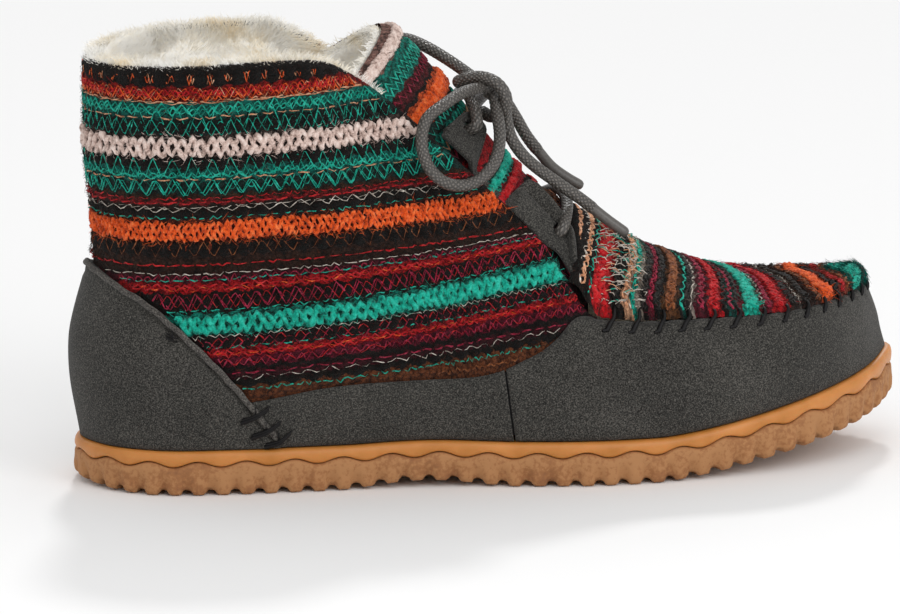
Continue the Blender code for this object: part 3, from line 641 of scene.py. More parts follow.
def waxed_cord(name, color, plain="", roughness=0.36, gloss=0.6):
    """Waxed cotton cord: a tight round braid, with painted shade in its valleys and small painted
    glints on its crowns.

    The pattern's coordinates are millimetres round and along the cord, and a turn of the braid
    takes 3.4 mm. Plain gives the dark colour of a smooth cord, such as a waxed tip or a thread."""
    made, tree, shader = new_finish(name, roughness, Specular_IOR_Level=gloss)
    spot = add_node(tree, "ShaderNodeTexCoord")
    grain = add_node(tree, "ShaderNodeTexNoise",
                     {"Vector": spot.outputs["Object"], "Scale": 1500, "Detail": 3})
    height = grain.outputs[0]
    if not plain:
        split = add_node(tree, "ShaderNodeSeparateXYZ", {0: spot.outputs["UV"]})
        turned = add_node(tree, "ShaderNodeMath",
                          {0: split.outputs[0], 1: 8 / LACE_DIAMETER * MM}, operation="MULTIPLY")
        stray = add_node(tree, "ShaderNodeTexNoise",
                         {"Vector": spot.outputs["Object"], "Scale": 420, "Detail": 1})
        turned = add_node(tree, "ShaderNodeMath",
                          {0: stray.outputs[0], 1: 3.2, 2: turned.outputs[0]},
                          operation="MULTIPLY_ADD")
        diamonds = []
        for way in (1, -1):
            slant = add_node(tree, "ShaderNodeMath", {
                0: split.outputs[1], 1: way * math.pi / 1.7, 2: turned.outputs[0]},
                operation="MULTIPLY_ADD")
            wave = add_node(tree, "ShaderNodeMath", {0: slant.outputs[0]}, operation="SINE")
            diamonds.append(wave.outputs[0])
        pillow = add_node(tree, "ShaderNodeMath", {0: diamonds[0], 1: diamonds[1]},
                          operation="MULTIPLY")
        pillow = add_node(tree, "ShaderNodeMath", {0: pillow.outputs[0]}, operation="ABSOLUTE")
        height = add_node(tree, "ShaderNodeMath", {
            0: grain.outputs[0], 1: 0.55, 2: pillow.outputs[0]}, operation="MULTIPLY_ADD").outputs[0]
    # Painted shade in the braid's valleys, up to painted glints on its crowns; a plain cord only has
    # its grain.
    stops = [(0.2, linear("#312E2B")), (0.6, color), (0.95, linear("#4B4743")),
             (1.0, linear("#69645E"))]
    if plain:
        stops = [(0.2, linear(plain)), (0.8, color)]
    tint = add_node(tree, "ShaderNodeValToRGB", {"Fac": height}, stops=stops)
    shade(tree, shader, tint.outputs[0], height, 0.15 if plain else 0.7, 0.35 * MM)
    return made


def gum_rubber(name, color):
    """Moulded crepe gum rubber: matt tan with a coarse cast grain, with painted shade where its
    grain lies low.
    """
    made, tree, shader = new_finish(name, 0.78, Specular_IOR_Level=0.3)
    place = add_node(tree, "ShaderNodeTexCoord").outputs["Object"]
    # Cast grain of 1.4 mm on patches of 17 mm; the colour follows their height, with painted shade
    # where they lie low
    grain = add_node(tree, "ShaderNodeTexNoise",
                     {"Vector": place, "Scale": 700, "Detail": 3, "Roughness": 0.6})
    broad = add_node(tree, "ShaderNodeTexNoise", {"Vector": place, "Scale": 60, "Detail": 3})
    mixed = add_node(tree, "ShaderNodeMath",
                     {0: broad.outputs[0], 1: 0.9, 2: grain.outputs[0]}, operation="MULTIPLY_ADD")
    tint = add_node(tree, "ShaderNodeValToRGB", {"Fac": mixed.outputs[0]}, stops=[
        (0.5, linear("#83573A")), (0.85, color), (1.0, linear("#AA7A50"))])
    shade(tree, shader, tint.outputs[0], mixed.outputs[0], 0.35, 0.5 * MM)
    return made


def amber_rubber(name, color):
    """Smooth translucent amber rubber: satin, faintly mottled, with a little light inside."""
    made, tree, shader = new_finish(
        name, 0.42, Specular_IOR_Level=0.4, Subsurface_Weight=0.15, Subsurface_Scale=0.002
    )
    place = add_node(tree, "ShaderNodeTexCoord").outputs["Object"]
    # Mottled patches of 11 mm
    broad = add_node(tree, "ShaderNodeTexNoise", {"Vector": place, "Scale": 90, "Detail": 4})
    tint = add_node(tree, "ShaderNodeValToRGB", {"Fac": broad.outputs[0]}, stops=[
        (0.3, linear("#B4732F")), (0.66, color)])
    shade(tree, shader, tint.outputs[0], broad.outputs[0], 0.12, 0.4 * MM)
    return made


# Stripes and threads

# Lower edge of each stripe of the shaft in millimetres above the floor at the ankle
SHAFT_CHART = [
    (20, "#6B3B22"), (34.5, "#181512"), (37, "#3A1018"), (39.6, "#1A1413"), (41.6, "#5E1226"),
    (44.4, "#A3161E"), (47.4, "#241013"), (51, "#201a18"), (51.9, "#127B6B"), (59, "#1B1210"),
    (65.4, "#A8151C"), (68.4, "#4A1420"), (71, "#2C1B14"), (73.5, "#3B2218"),
    (74.6, "#33211A"), (77, "#191311"), (81.2, "#5C2412"), (88.9, "#171310"), (92, "#2A1E18"),
    (93.2, "#7B1A1E"), (94.6, "#3A2519"), (96.6, "#16302C"), (101.4, "#12695E"),
    (105, "#171412"), (108.8, "#4A3D38"), (115.8, "#10201D"), (120.8, "#0E4E46"),
    (122.4, "#117266"), (126.6, "#7A2A1C"), (127.6, "#8E1A17"), (131.8, "#17120F"),
]

# Distance in millimetres along the toe of each stripe of the plug
PLUG_CHART = [
    (108, "#1B1512"), (119.5, "#B3141B"), (126.2, "#161210"),
    (130.2, "#B98B6C"), (133.2, "#12806F"), (134.6, "#8F8377"), (136.4, "#181311"),
    (138.4, "#5E1524"), (140.5, "#15110F"), (143.2, "#5A3820"), (148.3, "#1B1411"),
    (149.4, "#0D4A42"), (150.8, "#15110F"), (152.6, "#8C8078"), (153.6, "#4E1420"),
    (158.4, "#B0141C"), (162.8, "#1D1412"), (164.4, "#0D4A42"), (167.4, "#5E1320"),
    (169.8, "#13A58D"), (175.4, "#5E1320"), (179.6, "#B0161C"), (184.8, "#30201A"),
    (188.6, "#7E7268"), (189.6, "#2C1A14"), (194.8, "#46241A"), (197.0, "#D4592A"),
    (202.2, "#1D1714"), (204.6, "#7A3426"), (208.8, "#0B5A50"),
]

# Distance in millimetres down the tongue from its top edge
TONGUE_CHART = [
    (-6, "#8E6A60"), (4.6, "#0F7F70"), (13.5, "#5A1B20"), (18.5, "#1B1614"), (20, "#D4592A"),
    (28.5, "#16302C"), (33, "#127668"), (40, "#4E161E"), (46, "#A8151C"), (52, "#1B1512"),
    (55.5, "#12695E"), (57, "#15A08A"), (60.5, "#A81A2C"), (66, "#1B1512"), (70.5, "#5A3820"),
    (77, "#3A1420"), (88, "#1B1512"), (92, "#9B8069"), (96.5, "#B3141B"), (108, "#161210"),
]

# Width in millimetres of a tooth of the jagged stripes, and more than the way round the shaft
TOOTH = 6.2
SHAFT_ROUND = 380


def stripe_height(points):
    """Stripe millimetre of points on the shaft: height above the floor, less the stripes' rise."""
    x, z = points[..., 0] / MM, points[..., 2] / MM
    level = z - 0.045 * x
    for _ in range(3):
        bend = 0.0006 * (1 - smooth(56, 86, level))
        level = z - 0.045 * x - bend * x**2 * (x > 0)
    return level


class WallMap:
    """Finds the place on the shaft's wall of a way round and a stripe height."""

    def __init__(self):
        self.turns = np.linspace(-SEAM_START, SEAM_START, 481)
        self.parts = np.linspace(0, 1, 61)
        grid = wall(self.turns[:, None], self.parts[None, :])
        middle = wall(self.turns, np.full(len(self.turns), 0.55))
        self.rounds = lengths_along(middle) / MM
        self.rounds -= np.interp(0, self.turns, self.rounds)
        self.levels = stripe_height(grid)
        self.heights = np.linalg.norm(np.diff(grid, axis=1), axis=2).sum(1) / MM

    def round_at(self, turn):
        """Millimetre round the shaft of a turn."""
        return np.interp(turn, self.turns, self.rounds)

    def find(self, around, level):
        """Turn and part of a place; part is past 1 or below 0 where the wall doesn't reach."""
        turn = np.interp(around, self.rounds, self.turns)
        spot = np.interp(turn, self.turns, np.arange(len(self.turns)))
        start = np.minimum(spot.astype(int), len(self.turns) - 2)
        rest = spot - start
        part = np.empty(len(turn))
        for i, (index, share, height) in enumerate(zip(start, rest, level)):
            ends = [np.interp(height, self.levels[index + k], self.parts, -1, 2) for k in (0, 1)]
            part[i] = ends[0] * (1 - share) + ends[1] * share
        return turn, part


def suede_edge(turn):
    """Share of the wall that the suede covers, the counter included."""
    return np.minimum(0.985, np.maximum(read("guard", turn), read("counter", turn)))


def zigzag(level, swing, tooth, phase, seed):
    """Ways round and levels of a zigzag thread, two points a tooth, each a little astray."""
    draw = random.Random(seed)
    arounds, levels = [], []
    count = int(2 * SHAFT_ROUND / tooth)
    for i in range(-count // 2, count // 2 + 1):
        side = math.cos(math.pi * i)
        arounds.append((i / 2 + phase) * tooth + draw.uniform(-1, 1) * 0.4)
        levels.append(level + swing * side + draw.uniform(-1, 1) * 0.4)
    return np.array(arounds), np.array(levels)


def densify(arounds, levels, step):
    """More points along a run of ways round and levels."""
    lengths = np.r_[0, np.cumsum(np.hypot(np.diff(arounds), np.diff(levels)))]
    places = np.arange(0, lengths[-1], step)
    return np.interp(places, lengths, arounds), np.interp(places, lengths, levels)


def runs_on_wall(spots, arounds, levels, heights, margin=0.012):
    """Split a run into the stretches that lie on bare knit, as points."""
    turn, part = spots.find(arounds, levels)
    bare = (part > suede_edge(turn) + margin) & (part < 0.992) & (abs(turn) < SEAM_START - 0.02)
    points = raised(wall, turn, np.clip(part, 0, 1), heights)
    stretch, out = [], []
    for point, fine in zip(points, bare):
        if fine:
            stretch.append(point)
        else:
            if len(stretch) > 3:
                out.append(np.array(stretch))
            stretch = []
    if len(stretch) > 3:
        out.append(np.array(stretch))
    return out


# Threads of the shaft: yarn, level, swing, tooth, phase, radius in mm, and how they dip: 0 not at
# all, 1 in and out of the knit, 2 under it in the middle of each tooth
THREADS = [
    ("orange", 134.4, 1.9, 2.1, 0.0, 0.15, 2), ("peach", 134.6, 1.9, 2.1, 0.5, 0.12, 2),
    ("red", 129.9, 1.4, 3.1, 0.0, 0.3, 0), ("red", 129.6, 1.4, 3.1, 0.5, 0.28, 0),
    ("orange", 129.4, 2.4, 6.2, 0.2, 0.17, 0), ("orange", 129.4, 2.2, 6.2, 0.7, 0.14, 0),
    ("peach", 129.2, 2.3, 6.2, 0.45, 0.1, 0), ("orange", 128.6, 1.2, 3.1, 0.1, 0.2, 0),
    ("peach", 127.1, 0.25, 3.1, 0.0, 0.22, 1), ("peach", 126.8, 0.3, 6.2, 0.5, 0.14, 0),
    ("teal", 124.7, 2.0, 6.2, 0.5, 0.34, 0), ("teal", 124.4, 1.7, 6.2, 0.0, 0.24, 0),
    ("teal", 124.3, 1.2, 3.1, 0.2, 0.26, 0), ("teal", 121.5, 4.3, 6.2, 0.3, 0.12, 0),
    ("peach", 121.9, 0.2, 3.1, 0.3, 0.22, 1), ("teal", 118.6, 2.9, 6.2, 0.0, 0.16, 0),
    ("teal", 118.4, 2.7, 6.2, 0.45, 0.13, 0), ("teal", 105.6, 3.4, 6.2, 0.0, 0.2, 0),
    ("teal", 105.2, 3.1, 6.2, 0.55, 0.14, 0), ("teal", 103.4, 1.2, 3.1, 0.0, 0.28, 0),
    ("teal", 103.0, 0.9, 6.2, 0.4, 0.3, 0), ("peach", 101.8, 0.2, 3.1, 0.6, 0.22, 1),
    ("teal", 99.3, 2.7, 6.2, 0.0, 0.26, 0), ("teal", 99.0, 2.5, 6.2, 0.12, 0.2, 0),
    ("teal", 100.0, 2.2, 6.2, 0.5, 0.13, 0), ("red", 94.2, 0.25, 3.1, 0.2, 0.3, 1),
    ("red", 95.6, 0.5, 3.1, 0.5, 0.2, 1), ("white", 92.2, 1.1, 6.2, 0.5, 0.15, 0),
    ("white", 92.6, 0.5, 6.2, 0.1, 0.12, 1), ("teal", 89.4, 0.5, 3.1, 0.0, 0.2, 1),
    ("rust", 80.6, 2.6, 6.2, 0.0, 0.15, 0), ("rust", 79.2, 2.6, 6.2, 0.45, 0.13, 0),
    ("red", 74.1, 0.25, 3.1, 0.3, 0.26, 1), ("white", 71.4, 0.3, 3.1, 0.0, 0.17, 1),
    ("burgundy", 69.9, 1.1, 3.1, 0.0, 0.24, 0), ("teal", 69.4, 0.35, 3.1, 0.4, 0.2, 1),
    ("red", 67.6, 0.8, 3.1, 0.0, 0.34, 0), ("red", 66.8, 0.8, 3.1, 0.5, 0.34, 0),
    ("orange", 66.9, 0.7, 6.2, 0.3, 0.14, 1), ("burgundy", 62.8, 2.9, 6.2, 0.0, 0.26, 0),
    ("burgundy", 62.4, 2.6, 6.2, 0.12, 0.2, 0), ("red", 62.8, 2.4, 6.2, 0.5, 0.13, 0),
    ("teal", 59.9, 0.4, 3.1, 0.2, 0.2, 1), ("white", 51.6, 0.8, 3.1, 0.2, 0.15, 1),
    ("red", 49.4, 2.0, 6.2, 0.0, 0.16, 0), ("burgundy", 49.0, 1.9, 6.2, 0.45, 0.2, 0),
    ("teal", 48.0, 0.4, 3.1, 0.1, 0.16, 1), ("red", 46.2, 0.8, 3.1, 0.0, 0.34, 0),
    ("red", 45.6, 0.8, 3.1, 0.5, 0.32, 0), ("orange", 45.9, 0.6, 6.2, 0.2, 0.12, 1),
    ("burgundy", 43.0, 1.4, 3.1, 0.0, 0.26, 0), ("red", 43.2, 1.3, 6.2, 0.3, 0.14, 0),
    ("burgundy", 39.2, 0.2, 3.1, 0.0, 0.26, 1), ("white", 37.6, 0.9, 6.2, 0.3, 0.15, 1),
    ("teal", 33.8, 0.7, 3.1, 0.0, 0.24, 1), ("rust", 31.0, 0.7, 3.1, 0.0, 0.3, 1),
]
# Each yarn: its colour, its painted shade between the hairs and its painted light on the hairs
YARNS = {
    "teal": ("#13A58D", "#0A4E45", "#3CC9B2"), "red": ("#B3141B", "#5E0A10", "#D8383A"),
    "orange": ("#E2561E", "#7E2A10", "#F7854A"), "cream": ("#DCC3B8", "#8C7268", "#F4E4DC"),
    "burgundy": ("#8C1732", "#430A18", "#B43A56"), "rust": ("#7A4426", "#3A2012", "#A66A42"),
    "white": ("#C4BAAE", "#6E665C", "#EDE6DC"), "peach": ("#D89A74", "#7E5238", "#EFC0A0"),
    "black": ("#1B1816", "#0A0908", "#3A3531"),
}
YARN_NUMBERS = {name: number for number, name in enumerate(YARNS)}

# Thick rows of the shaft: level, swing, yarn, strands, radius in mm
PILE_ROWS = [(112.2, 3.0, "cream", 2, 0.8), (85.0, 2.9, "orange", 3, 0.56),
             (55.4, 2.7, "teal", 2, 0.88)]

# Rows of black knots: level, half height, rise in mm
OVAL_ROWS = [(107.0, 2.6, 0.9), (90.3, 2.2, 0.9), (79.0, 2.8, 0.9), (62.3, 3.2, 0.6),
             (49.0, 2.4, 0.8), (35.7, 1.6, 0.6), (134.6, 3.4, 0.8), (118.4, 3.0, 0.7)]


def knit_relief(points, around, level):
    """Height in mm of the knit's ribs, knots and lumps."""
    height = 0.3 * lumps(points, 1.6 * MM) + 0.2 * lumps(points, 0.8 * MM, 9)
    height += 0.15 * np.cos(2 * np.pi * level / 2.6)
    for centre, half, rise in OVAL_ROWS:
        across = (np.mod(around, TOOTH) - TOOTH / 2) / 2.7
        height += rise * np.maximum(0, 1 - across**2 - ((level - centre) / half) ** 2)
    for centre, half, *_ in PILE_ROWS:
        height -= 0.5 * (abs(level - centre) < half + 1)
    return height


def make_knit(yarns):
    """Quarters and shaft of striped knit, with its thick piles, threads and stray hairs."""
    spots = WallMap()
    knit = striped_knit("striped wool jersey", SHAFT_CHART, [row[:2] for row in OVAL_ROWS])
    columns = 344
    rounds = np.linspace(spots.rounds[0], spots.rounds[-1], columns + 1)
    turns = np.interp(rounds, spots.rounds, spots.turns)
    rim_share, rim_radius, rim_depth = 0.94, 1.8 * MM, 2.8 * MM

    def form(a, b):
        turn = turns[np.round(a * columns).astype(int)]
        around = spots.round_at(turn)
        tall = np.interp(turn, spots.turns, spots.heights)
        edge = suede_edge(turn)
        low = np.maximum(0.02, edge - 5 / tall)
        part = low + (1 - 1 / tall - low) * np.minimum(1, b / rim_share)
        base = wall(turn, part)
        along = wall(turn + 0.02, part) - wall(turn - 0.02, part)
        over = unit(wall(turn, part + 0.01) - wall(turn, part - 0.01))
        normal = unit(np.cross(along, over))
        fold = np.pi * np.clip((b - rim_share) / (1 - rim_share), 0, 1)
        level = stripe_height(base)
        inside = smooth(0, 3, (part - edge) * tall)
        depth = 1.0 + 0.75 * (1 - inside) - knit_relief(base, around, level) * inside
        flat = fold == 0
        turned = rim_depth - rim_radius * np.cos(fold) - 0.45 * MM * lumps(base, 1.3 * MM)
        sink = np.where(flat, depth * MM, turned)
        lift = rim_radius * np.sin(fold)
        points = base - normal * sink[:, None] + over * lift[:, None]
        return points, around, level + lift / MM + 1.2 * fold

    add_sheet("knit_quarters", columns, 126, form, knit, ["upper"])
    make_knit_yarns(spots, yarns)
    make_knit_hairs(spots, knit, yarns)


def make_knit_yarns(spots, yarns):
    """Thick piles and zigzag threads over the shaft's knit."""
    routes = []
    draw = random.Random(4)
    for number, (level, swing, yarn, count, thick) in enumerate(PILE_ROWS):
        for strand in range(count):
            arounds, levels = zigzag(level, swing, TOOTH, strand / count, number * 7 + strand)
            arounds, levels = densify(arounds, levels, 0.9)
            heights = (-0.75 + 0.35 * np.sin(arounds * 2.1 + strand * 2)) * MM
            for run in runs_on_wall(spots, arounds, levels, heights):
                radii = thick + 0.32 * np.array([draw.uniform(-1, 1) for _ in run])
                radii[0] = radii[-1] = 0.3
                routes.append((run, radii, YARN_NUMBERS[yarn], None))
    crumple(add_strands("knit_piles", routes, yarns), 0.32 * MM, 0.9 * MM)

    for name, part in (("knit_threads_upper", THREADS[:25]), ("knit_threads_lower", THREADS[25:])):
        routes = []
        for number, (yarn, level, swing, tooth, phase, radius, dotted) in enumerate(part):
            arounds, levels = zigzag(level, swing, tooth, phase, 162 + number)
            arounds, levels = densify(arounds, levels, 1.65)
            heights = np.full(len(arounds), -0.5)
            if dotted == 1:
                heights += 0.8 * np.sin(arounds * 2.7 + number) - 0.25
            elif dotted == 2:
                heights -= 1.6 * (abs(np.mod(arounds, TOOTH) - TOOTH / 2) < 1.9)
            for run in runs_on_wall(spots, arounds, levels, heights * MM):
                radii = radius * np.array([draw.uniform(0.45, 1.15) for _ in run])
                routes.append((run, radii, YARN_NUMBERS[yarn], None))
        threads = add_strands(name, routes, yarns, MM, 0)
        crumple(threads, 0.14 * MM, 0.7 * MM)


def crumple(made, reach, size):
    """Roughen a mesh along its normals so that its strands look felted."""
    mesh = made.data
    points = np.empty(len(mesh.vertices) * 3)
    normals = np.empty(len(mesh.vertices) * 3)
    mesh.vertices.foreach_get("co", points)
    mesh.vertices.foreach_get("normal", normals)
    points, normals = points.reshape(-1, 3), normals.reshape(-1, 3)
    points = points + normals * (reach * lumps(points, size) * 1.6)[:, None]
    mesh.vertices.foreach_set("co", points.ravel())
    mesh.update()


def hair_routes(roots, tangents, normals, spots, finishes, draw, length, lift):
    """Short curved hairs on a surface, each a little tapered ribbon."""
    others = np.cross(normals, tangents)
    routes = []
    for root, tangent, other, normal, spot, finish in zip(
        roots, tangents, others, normals, spots, finishes
    ):
        angle = draw.uniform(0, 2 * math.pi)
        way = tangent * math.cos(angle) + other * math.sin(angle)
        bend = tangent * draw.uniform(-0.5, 0.5) + other * draw.uniform(-0.5, 0.5)
        size = draw.uniform(0.6, 1.3) * length
        rise = draw.uniform(0.3, 1.0) * lift
        middle = root + way * size * 0.5 + normal * rise
        tip = root + (way + bend) * size + normal * rise * draw.uniform(0.6, 1.6)
        routes.append(([root, middle, tip], [1, 0.8, 0.25], finish, spot))
    return routes


def frame_of(form, a, b):
    """Tangents and normals of a form at places."""
    along = unit(form(a + 0.02, b) - form(a - 0.02, b))
    over = form(a, b + 0.01) - form(a, b - 0.01)
    return along, unit(np.cross(along, over))


def make_knit_hairs(spots, knit, yarns):
    """Stray wool hairs over the knit, in the colour of the stripe under each."""
    draw = random.Random(11)
    count = KNIT_HAIRS
    arounds = np.array([draw.uniform(spots.rounds[0], spots.rounds[-1]) for _ in range(count)])
    levels = np.array([draw.uniform(30, 138) for _ in range(count)])
    turn, part = spots.find(arounds, levels)
    keep = (part > suede_edge(turn) + 0.02) & (part < 0.99)
    turn, part, arounds, levels = turn[keep], part[keep], arounds[keep], levels[keep]
    tangents, normals = frame_of(wall, turn, part)
    roots = wall(turn, part) - normals * 0.6 * MM
    finishes = np.full(len(turn), len(yarns))
    for level, swing, yarn, _, _ in PILE_ROWS:
        finishes[abs(levels - level) < swing + 1.4] = YARN_NUMBERS[yarn]
    routes = hair_routes(roots, tangents, normals, np.c_[arounds, levels], finishes.tolist(),
                         draw, 1.9 * MM, 1.0 * MM)
    add_strands("knit_hairs", routes, yarns + [knit], 0.12 * MM, 0, ribbon=True)


# Depth of the lining below the wall's outer form, and numbers of hairs
LINING_DEPTH = 5.2 * MM
KNIT_HAIRS, PILE_HAIRS, RIM_HAIRS, PLUG_HAIRS = 22000, 17500, 12500, 11500


def pile_hair(root, lean, tip, size):
    """A bent hair of the pile that leans one way and tips over another."""
    bend = root + lean * size * 0.5
    return [root, bend, bend + tip * size * 0.5], [1.0, 0.8, 0.2], 0, (0.0, 0.0)


def make_lining(fur, length):
    """Cream pile lining down the inside of the shaft, with long hair that fills the collar."""

    def base(turn, part):
        return raised(wall, turn, part, np.full(len(turn), -LINING_DEPTH))

    def form(a, b):
        turn = np.interp(a, [0, 1], [-SEAM_START - 1.5, SEAM_START + 1.5])
        part = 0.02 + 0.975 * b
        points = base(turn, part)
        _, normals = frame_of(wall, turn, part)
        soft = 0.9 * lumps(points, 6 * MM) + 0.5 * lumps(points, 2.2 * MM, 5)
        inwards = 2.6 * smooth(0.72, 0.9, part) * (1 - smooth(0.93, 1.0, part) * 1.2)
        return points + normals * ((soft - inwards) * MM)[:, None], turn * 20, part * 120

    add_sheet("pile_lining", 210, 70, form, fur)

    # Long hairs down the inside, combed in locks, in two pieces
    draw = random.Random(21)
    count = PILE_HAIRS
    for name in ("pile_hairs_first", "pile_hairs_second"):
        turn = np.array([draw.uniform(-SEAM_START + 1.2, SEAM_START - 1.2) for _ in range(count)])
        part = np.array([1 - 0.3 * draw.random() ** 1.5 for _ in range(count)]) * 0.995
        tangents, normals = frame_of(wall, turn, part)
        roots = base(turn, part) + normals * (1.0 - 2.0 * smooth(0.72, 0.9, part))[:, None] * MM
        up = np.cross(normals, tangents)
        comb = lumps(roots, 14 * MM, 3)
        routes = []
        for root, tangent, normal, rise, way, high in zip(
            roots, tangents, normals, up, comb, smooth(0.93, 1, part)
        ):
            size = draw.uniform(0.5, 1.0) * length * (1 - 0.25 * high)
            lean = rise * (0.75 + 0.25 * high) - normal * draw.uniform(0.15, 0.8)
            lean = lean + tangent * (1.4 * way + draw.uniform(-0.35, 0.35))
            lean = lean / np.linalg.norm(lean)
            tip = lean - rise * draw.uniform(0.0, 0.5) - normal * draw.uniform(-0.5, 0.3)
            routes.append(pile_hair(root, lean, tip, size))
        add_strands(name, routes, [fur], 0.2 * MM, 0, ribbon=True)
    make_rim_hairs(fur, draw)


def make_rim_hairs(fur, draw):
    """Short hairs that stand over the collar's rim."""
    count = RIM_HAIRS
    turn = np.array([draw.uniform(-CORNER - 0.1, CORNER + 0.1) for _ in range(count)])
    ones = np.ones(count)
    tangents, normals = frame_of(wall, turn, ones)
    up = np.cross(normals, tangents)
    comb = lumps(wall(turn, ones), 9 * MM, 6)
    routes = []
    for root, tangent, normal, rise, way in zip(wall(turn, ones), tangents, normals, up, comb):
        root = root - normal * draw.uniform(2.0, 5.4) * MM + rise * draw.uniform(-2.0, 0.9) * MM
        size = draw.uniform(1.8, 3.9) * MM
        lean = rise + normal * draw.uniform(-0.9, 0.75)
        lean = unit(lean + tangent * (way + draw.uniform(-0.4, 0.4)))
        tip = lean - rise * draw.uniform(0.1, 0.8) + normal * draw.uniform(-0.5, 0.6)
        routes.append(pile_hair(root, lean, tip, size))
    add_strands("pile_hairs_rim", routes, [fur], 0.2 * MM, 0, ribbon=True)


# Yarns across the plug: millimetre along the toe, swing, yarn, strands, radius in mm
PLUG_YARNS = [
    (113.0, 0.8, "peach", 2, 0.3), (116.0, 1.0, "white", 1, 0.2), (117.0, 1.0, "peach", 2, 0.35),
    (119.2, 0.8, "teal", 1, 0.25), (122.6, 2.0, "red", 3, 0.95), (128.2, 1.2, "black", 2, 0.5),
    (131.4, 0.8, "peach", 2, 0.35), (132.4, 0.6, "white", 1, 0.2), (134.0, 0.7, "teal", 2, 0.3),
    (137.0, 1.0, "black", 2, 0.5), (139.4, 0.8, "burgundy", 2, 0.35),
    (141.6, 1.0, "black", 2, 0.5), (145.8, 1.4, "rust", 3, 0.6), (150.0, 0.6, "teal", 1, 0.3),
    (151.4, 0.8, "black", 2, 0.5), (153.0, 0.5, "white", 1, 0.2),
    (156.0, 1.0, "burgundy", 2, 0.4), (160.4, 1.4, "red", 2, 0.55), (163.4, 0.7, "black", 1, 0.5),
    (166.0, 0.8, "burgundy", 1, 0.4), (168.0, 0.7, "black", 1, 0.5), (172.4, 1.9, "teal", 3, 0.85),
    (176.6, 0.5, "white", 1, 0.18), (178.0, 0.9, "burgundy", 2, 0.4), (182.2, 1.4, "red", 2, 0.55),
    (186.6, 1.0, "black", 2, 0.55), (189.0, 0.5, "white", 1, 0.18), (192.0, 1.2, "black", 2, 0.5),
    (195.8, 0.9, "rust", 2, 0.4), (199.6, 1.8, "orange", 3, 0.8), (203.4, 0.8, "black", 1, 0.6),
    (206.4, 1.0, "red", 2, 0.4), (208.6, 0.8, "rust", 1, 0.5), (212.5, 1.8, "teal", 3, 0.6),
    (216.0, 1.6, "black", 2, 0.5), (220.0, 1.4, "teal", 2, 0.5),
]

# First stitch of the toe seam in mm along it, and the row where the plug starts
FIRST_STITCH, PLUG_START = 5, 7.45


def seam_line():
    """The seam between plug and vamp: its turns, points and millimetres, lateral side first."""
    turns = np.linspace(SEAM_START, LOOP - SEAM_START, 400)
    points = wall(turns, np.ones(400))
    return turns, points, lengths_along(points) / MM


# Stitches of the counter: rows and parts of three points, radius in mm
COUNTER_STITCHES = [
    (((3.10, 0.072), (3.24, 0.089), (3.37, 0.106)), 0.6),
    (((3.20, 0.030), (3.34, 0.047), (3.48, 0.066)), 0.6),
    (((3.33, 0.004), (3.46, 0.018), (3.58, 0.038)), 0.6),
    (((2.17, 0.303), (2.25, 0.296), (2.31, 0.291)), 0.35),
]


def make_vamp(suede, step):
    """Vamp of suede, puckered at the toe seam."""
    seam_turns, _, seam_ways = seam_line()

    def vamp(a, b):
        turn = SIDE_SEAM + 0.012 + (LOOP - 2 * SIDE_SEAM - 0.024) * a
        top = np.minimum(0.985, read("guard", turn))
        part = top * b
        base = wall(turn, part)
        way = np.interp(turn, seam_turns, seam_ways)
        on_seam = smooth(SEAM_START, SEAM_START + 0.3, turn)
        on_seam = on_seam * smooth(SEAM_START, SEAM_START + 0.3, LOOP - turn)
        near = np.exp(-((1 - b) * 37 / 4.5) ** 2) * on_seam
        pucker = 0.5 * np.cos(2 * np.pi * (way - FIRST_STITCH) / step)
        rounding = -0.9 * smooth(0.95, 1, b)
        height = (near * (0.35 - pucker) + rounding + 0.12 * lumps(base, 9 * MM)) * MM
        return raised(wall, turn, part, height), turn * 20, part * 40

    thicken(add_sheet("vamp_suede", 250, 28, vamp, suede, ["vamp"]), SUEDE_THICKNESS)


def make_foxing(suede, thread):
    """Foxing strips of suede, and a dark sheet under each side seam as painted shade in its slit."""
    for side, name in ((1, "lateral"), (-1, "medial")):
        def foxing(a, b, side=side):
            row = 3.2 + (SIDE_SEAM - 0.012 - 3.2) * a
            part = np.minimum(0.985, read("guard", side * row)) * b
            height = -0.5 * MM * smooth(0.9, 1, b)
            return raised(wall, side * row, part, height), row * 20, part * 40

        node = f"foxing_{name}"
        made = add_sheet(f"{node}_suede", 70, 10, foxing, suede, [node])
        thicken(made, SUEDE_THICKNESS)

        # A black sheet below the slit between vamp and foxing: painted shade in the slit.
        def slit_shade(a, b, side=side):
            row = SIDE_SEAM - 0.1 + 0.2 * a
            part = 0.02 + (read("guard", side * row) - 0.03) * b
            return raised(wall, side * row, part, -1.2 * MM), row * 20, part * 40

        add_sheet(f"seam_slit_shade_{name}", 6, 12, slit_shade, thread)


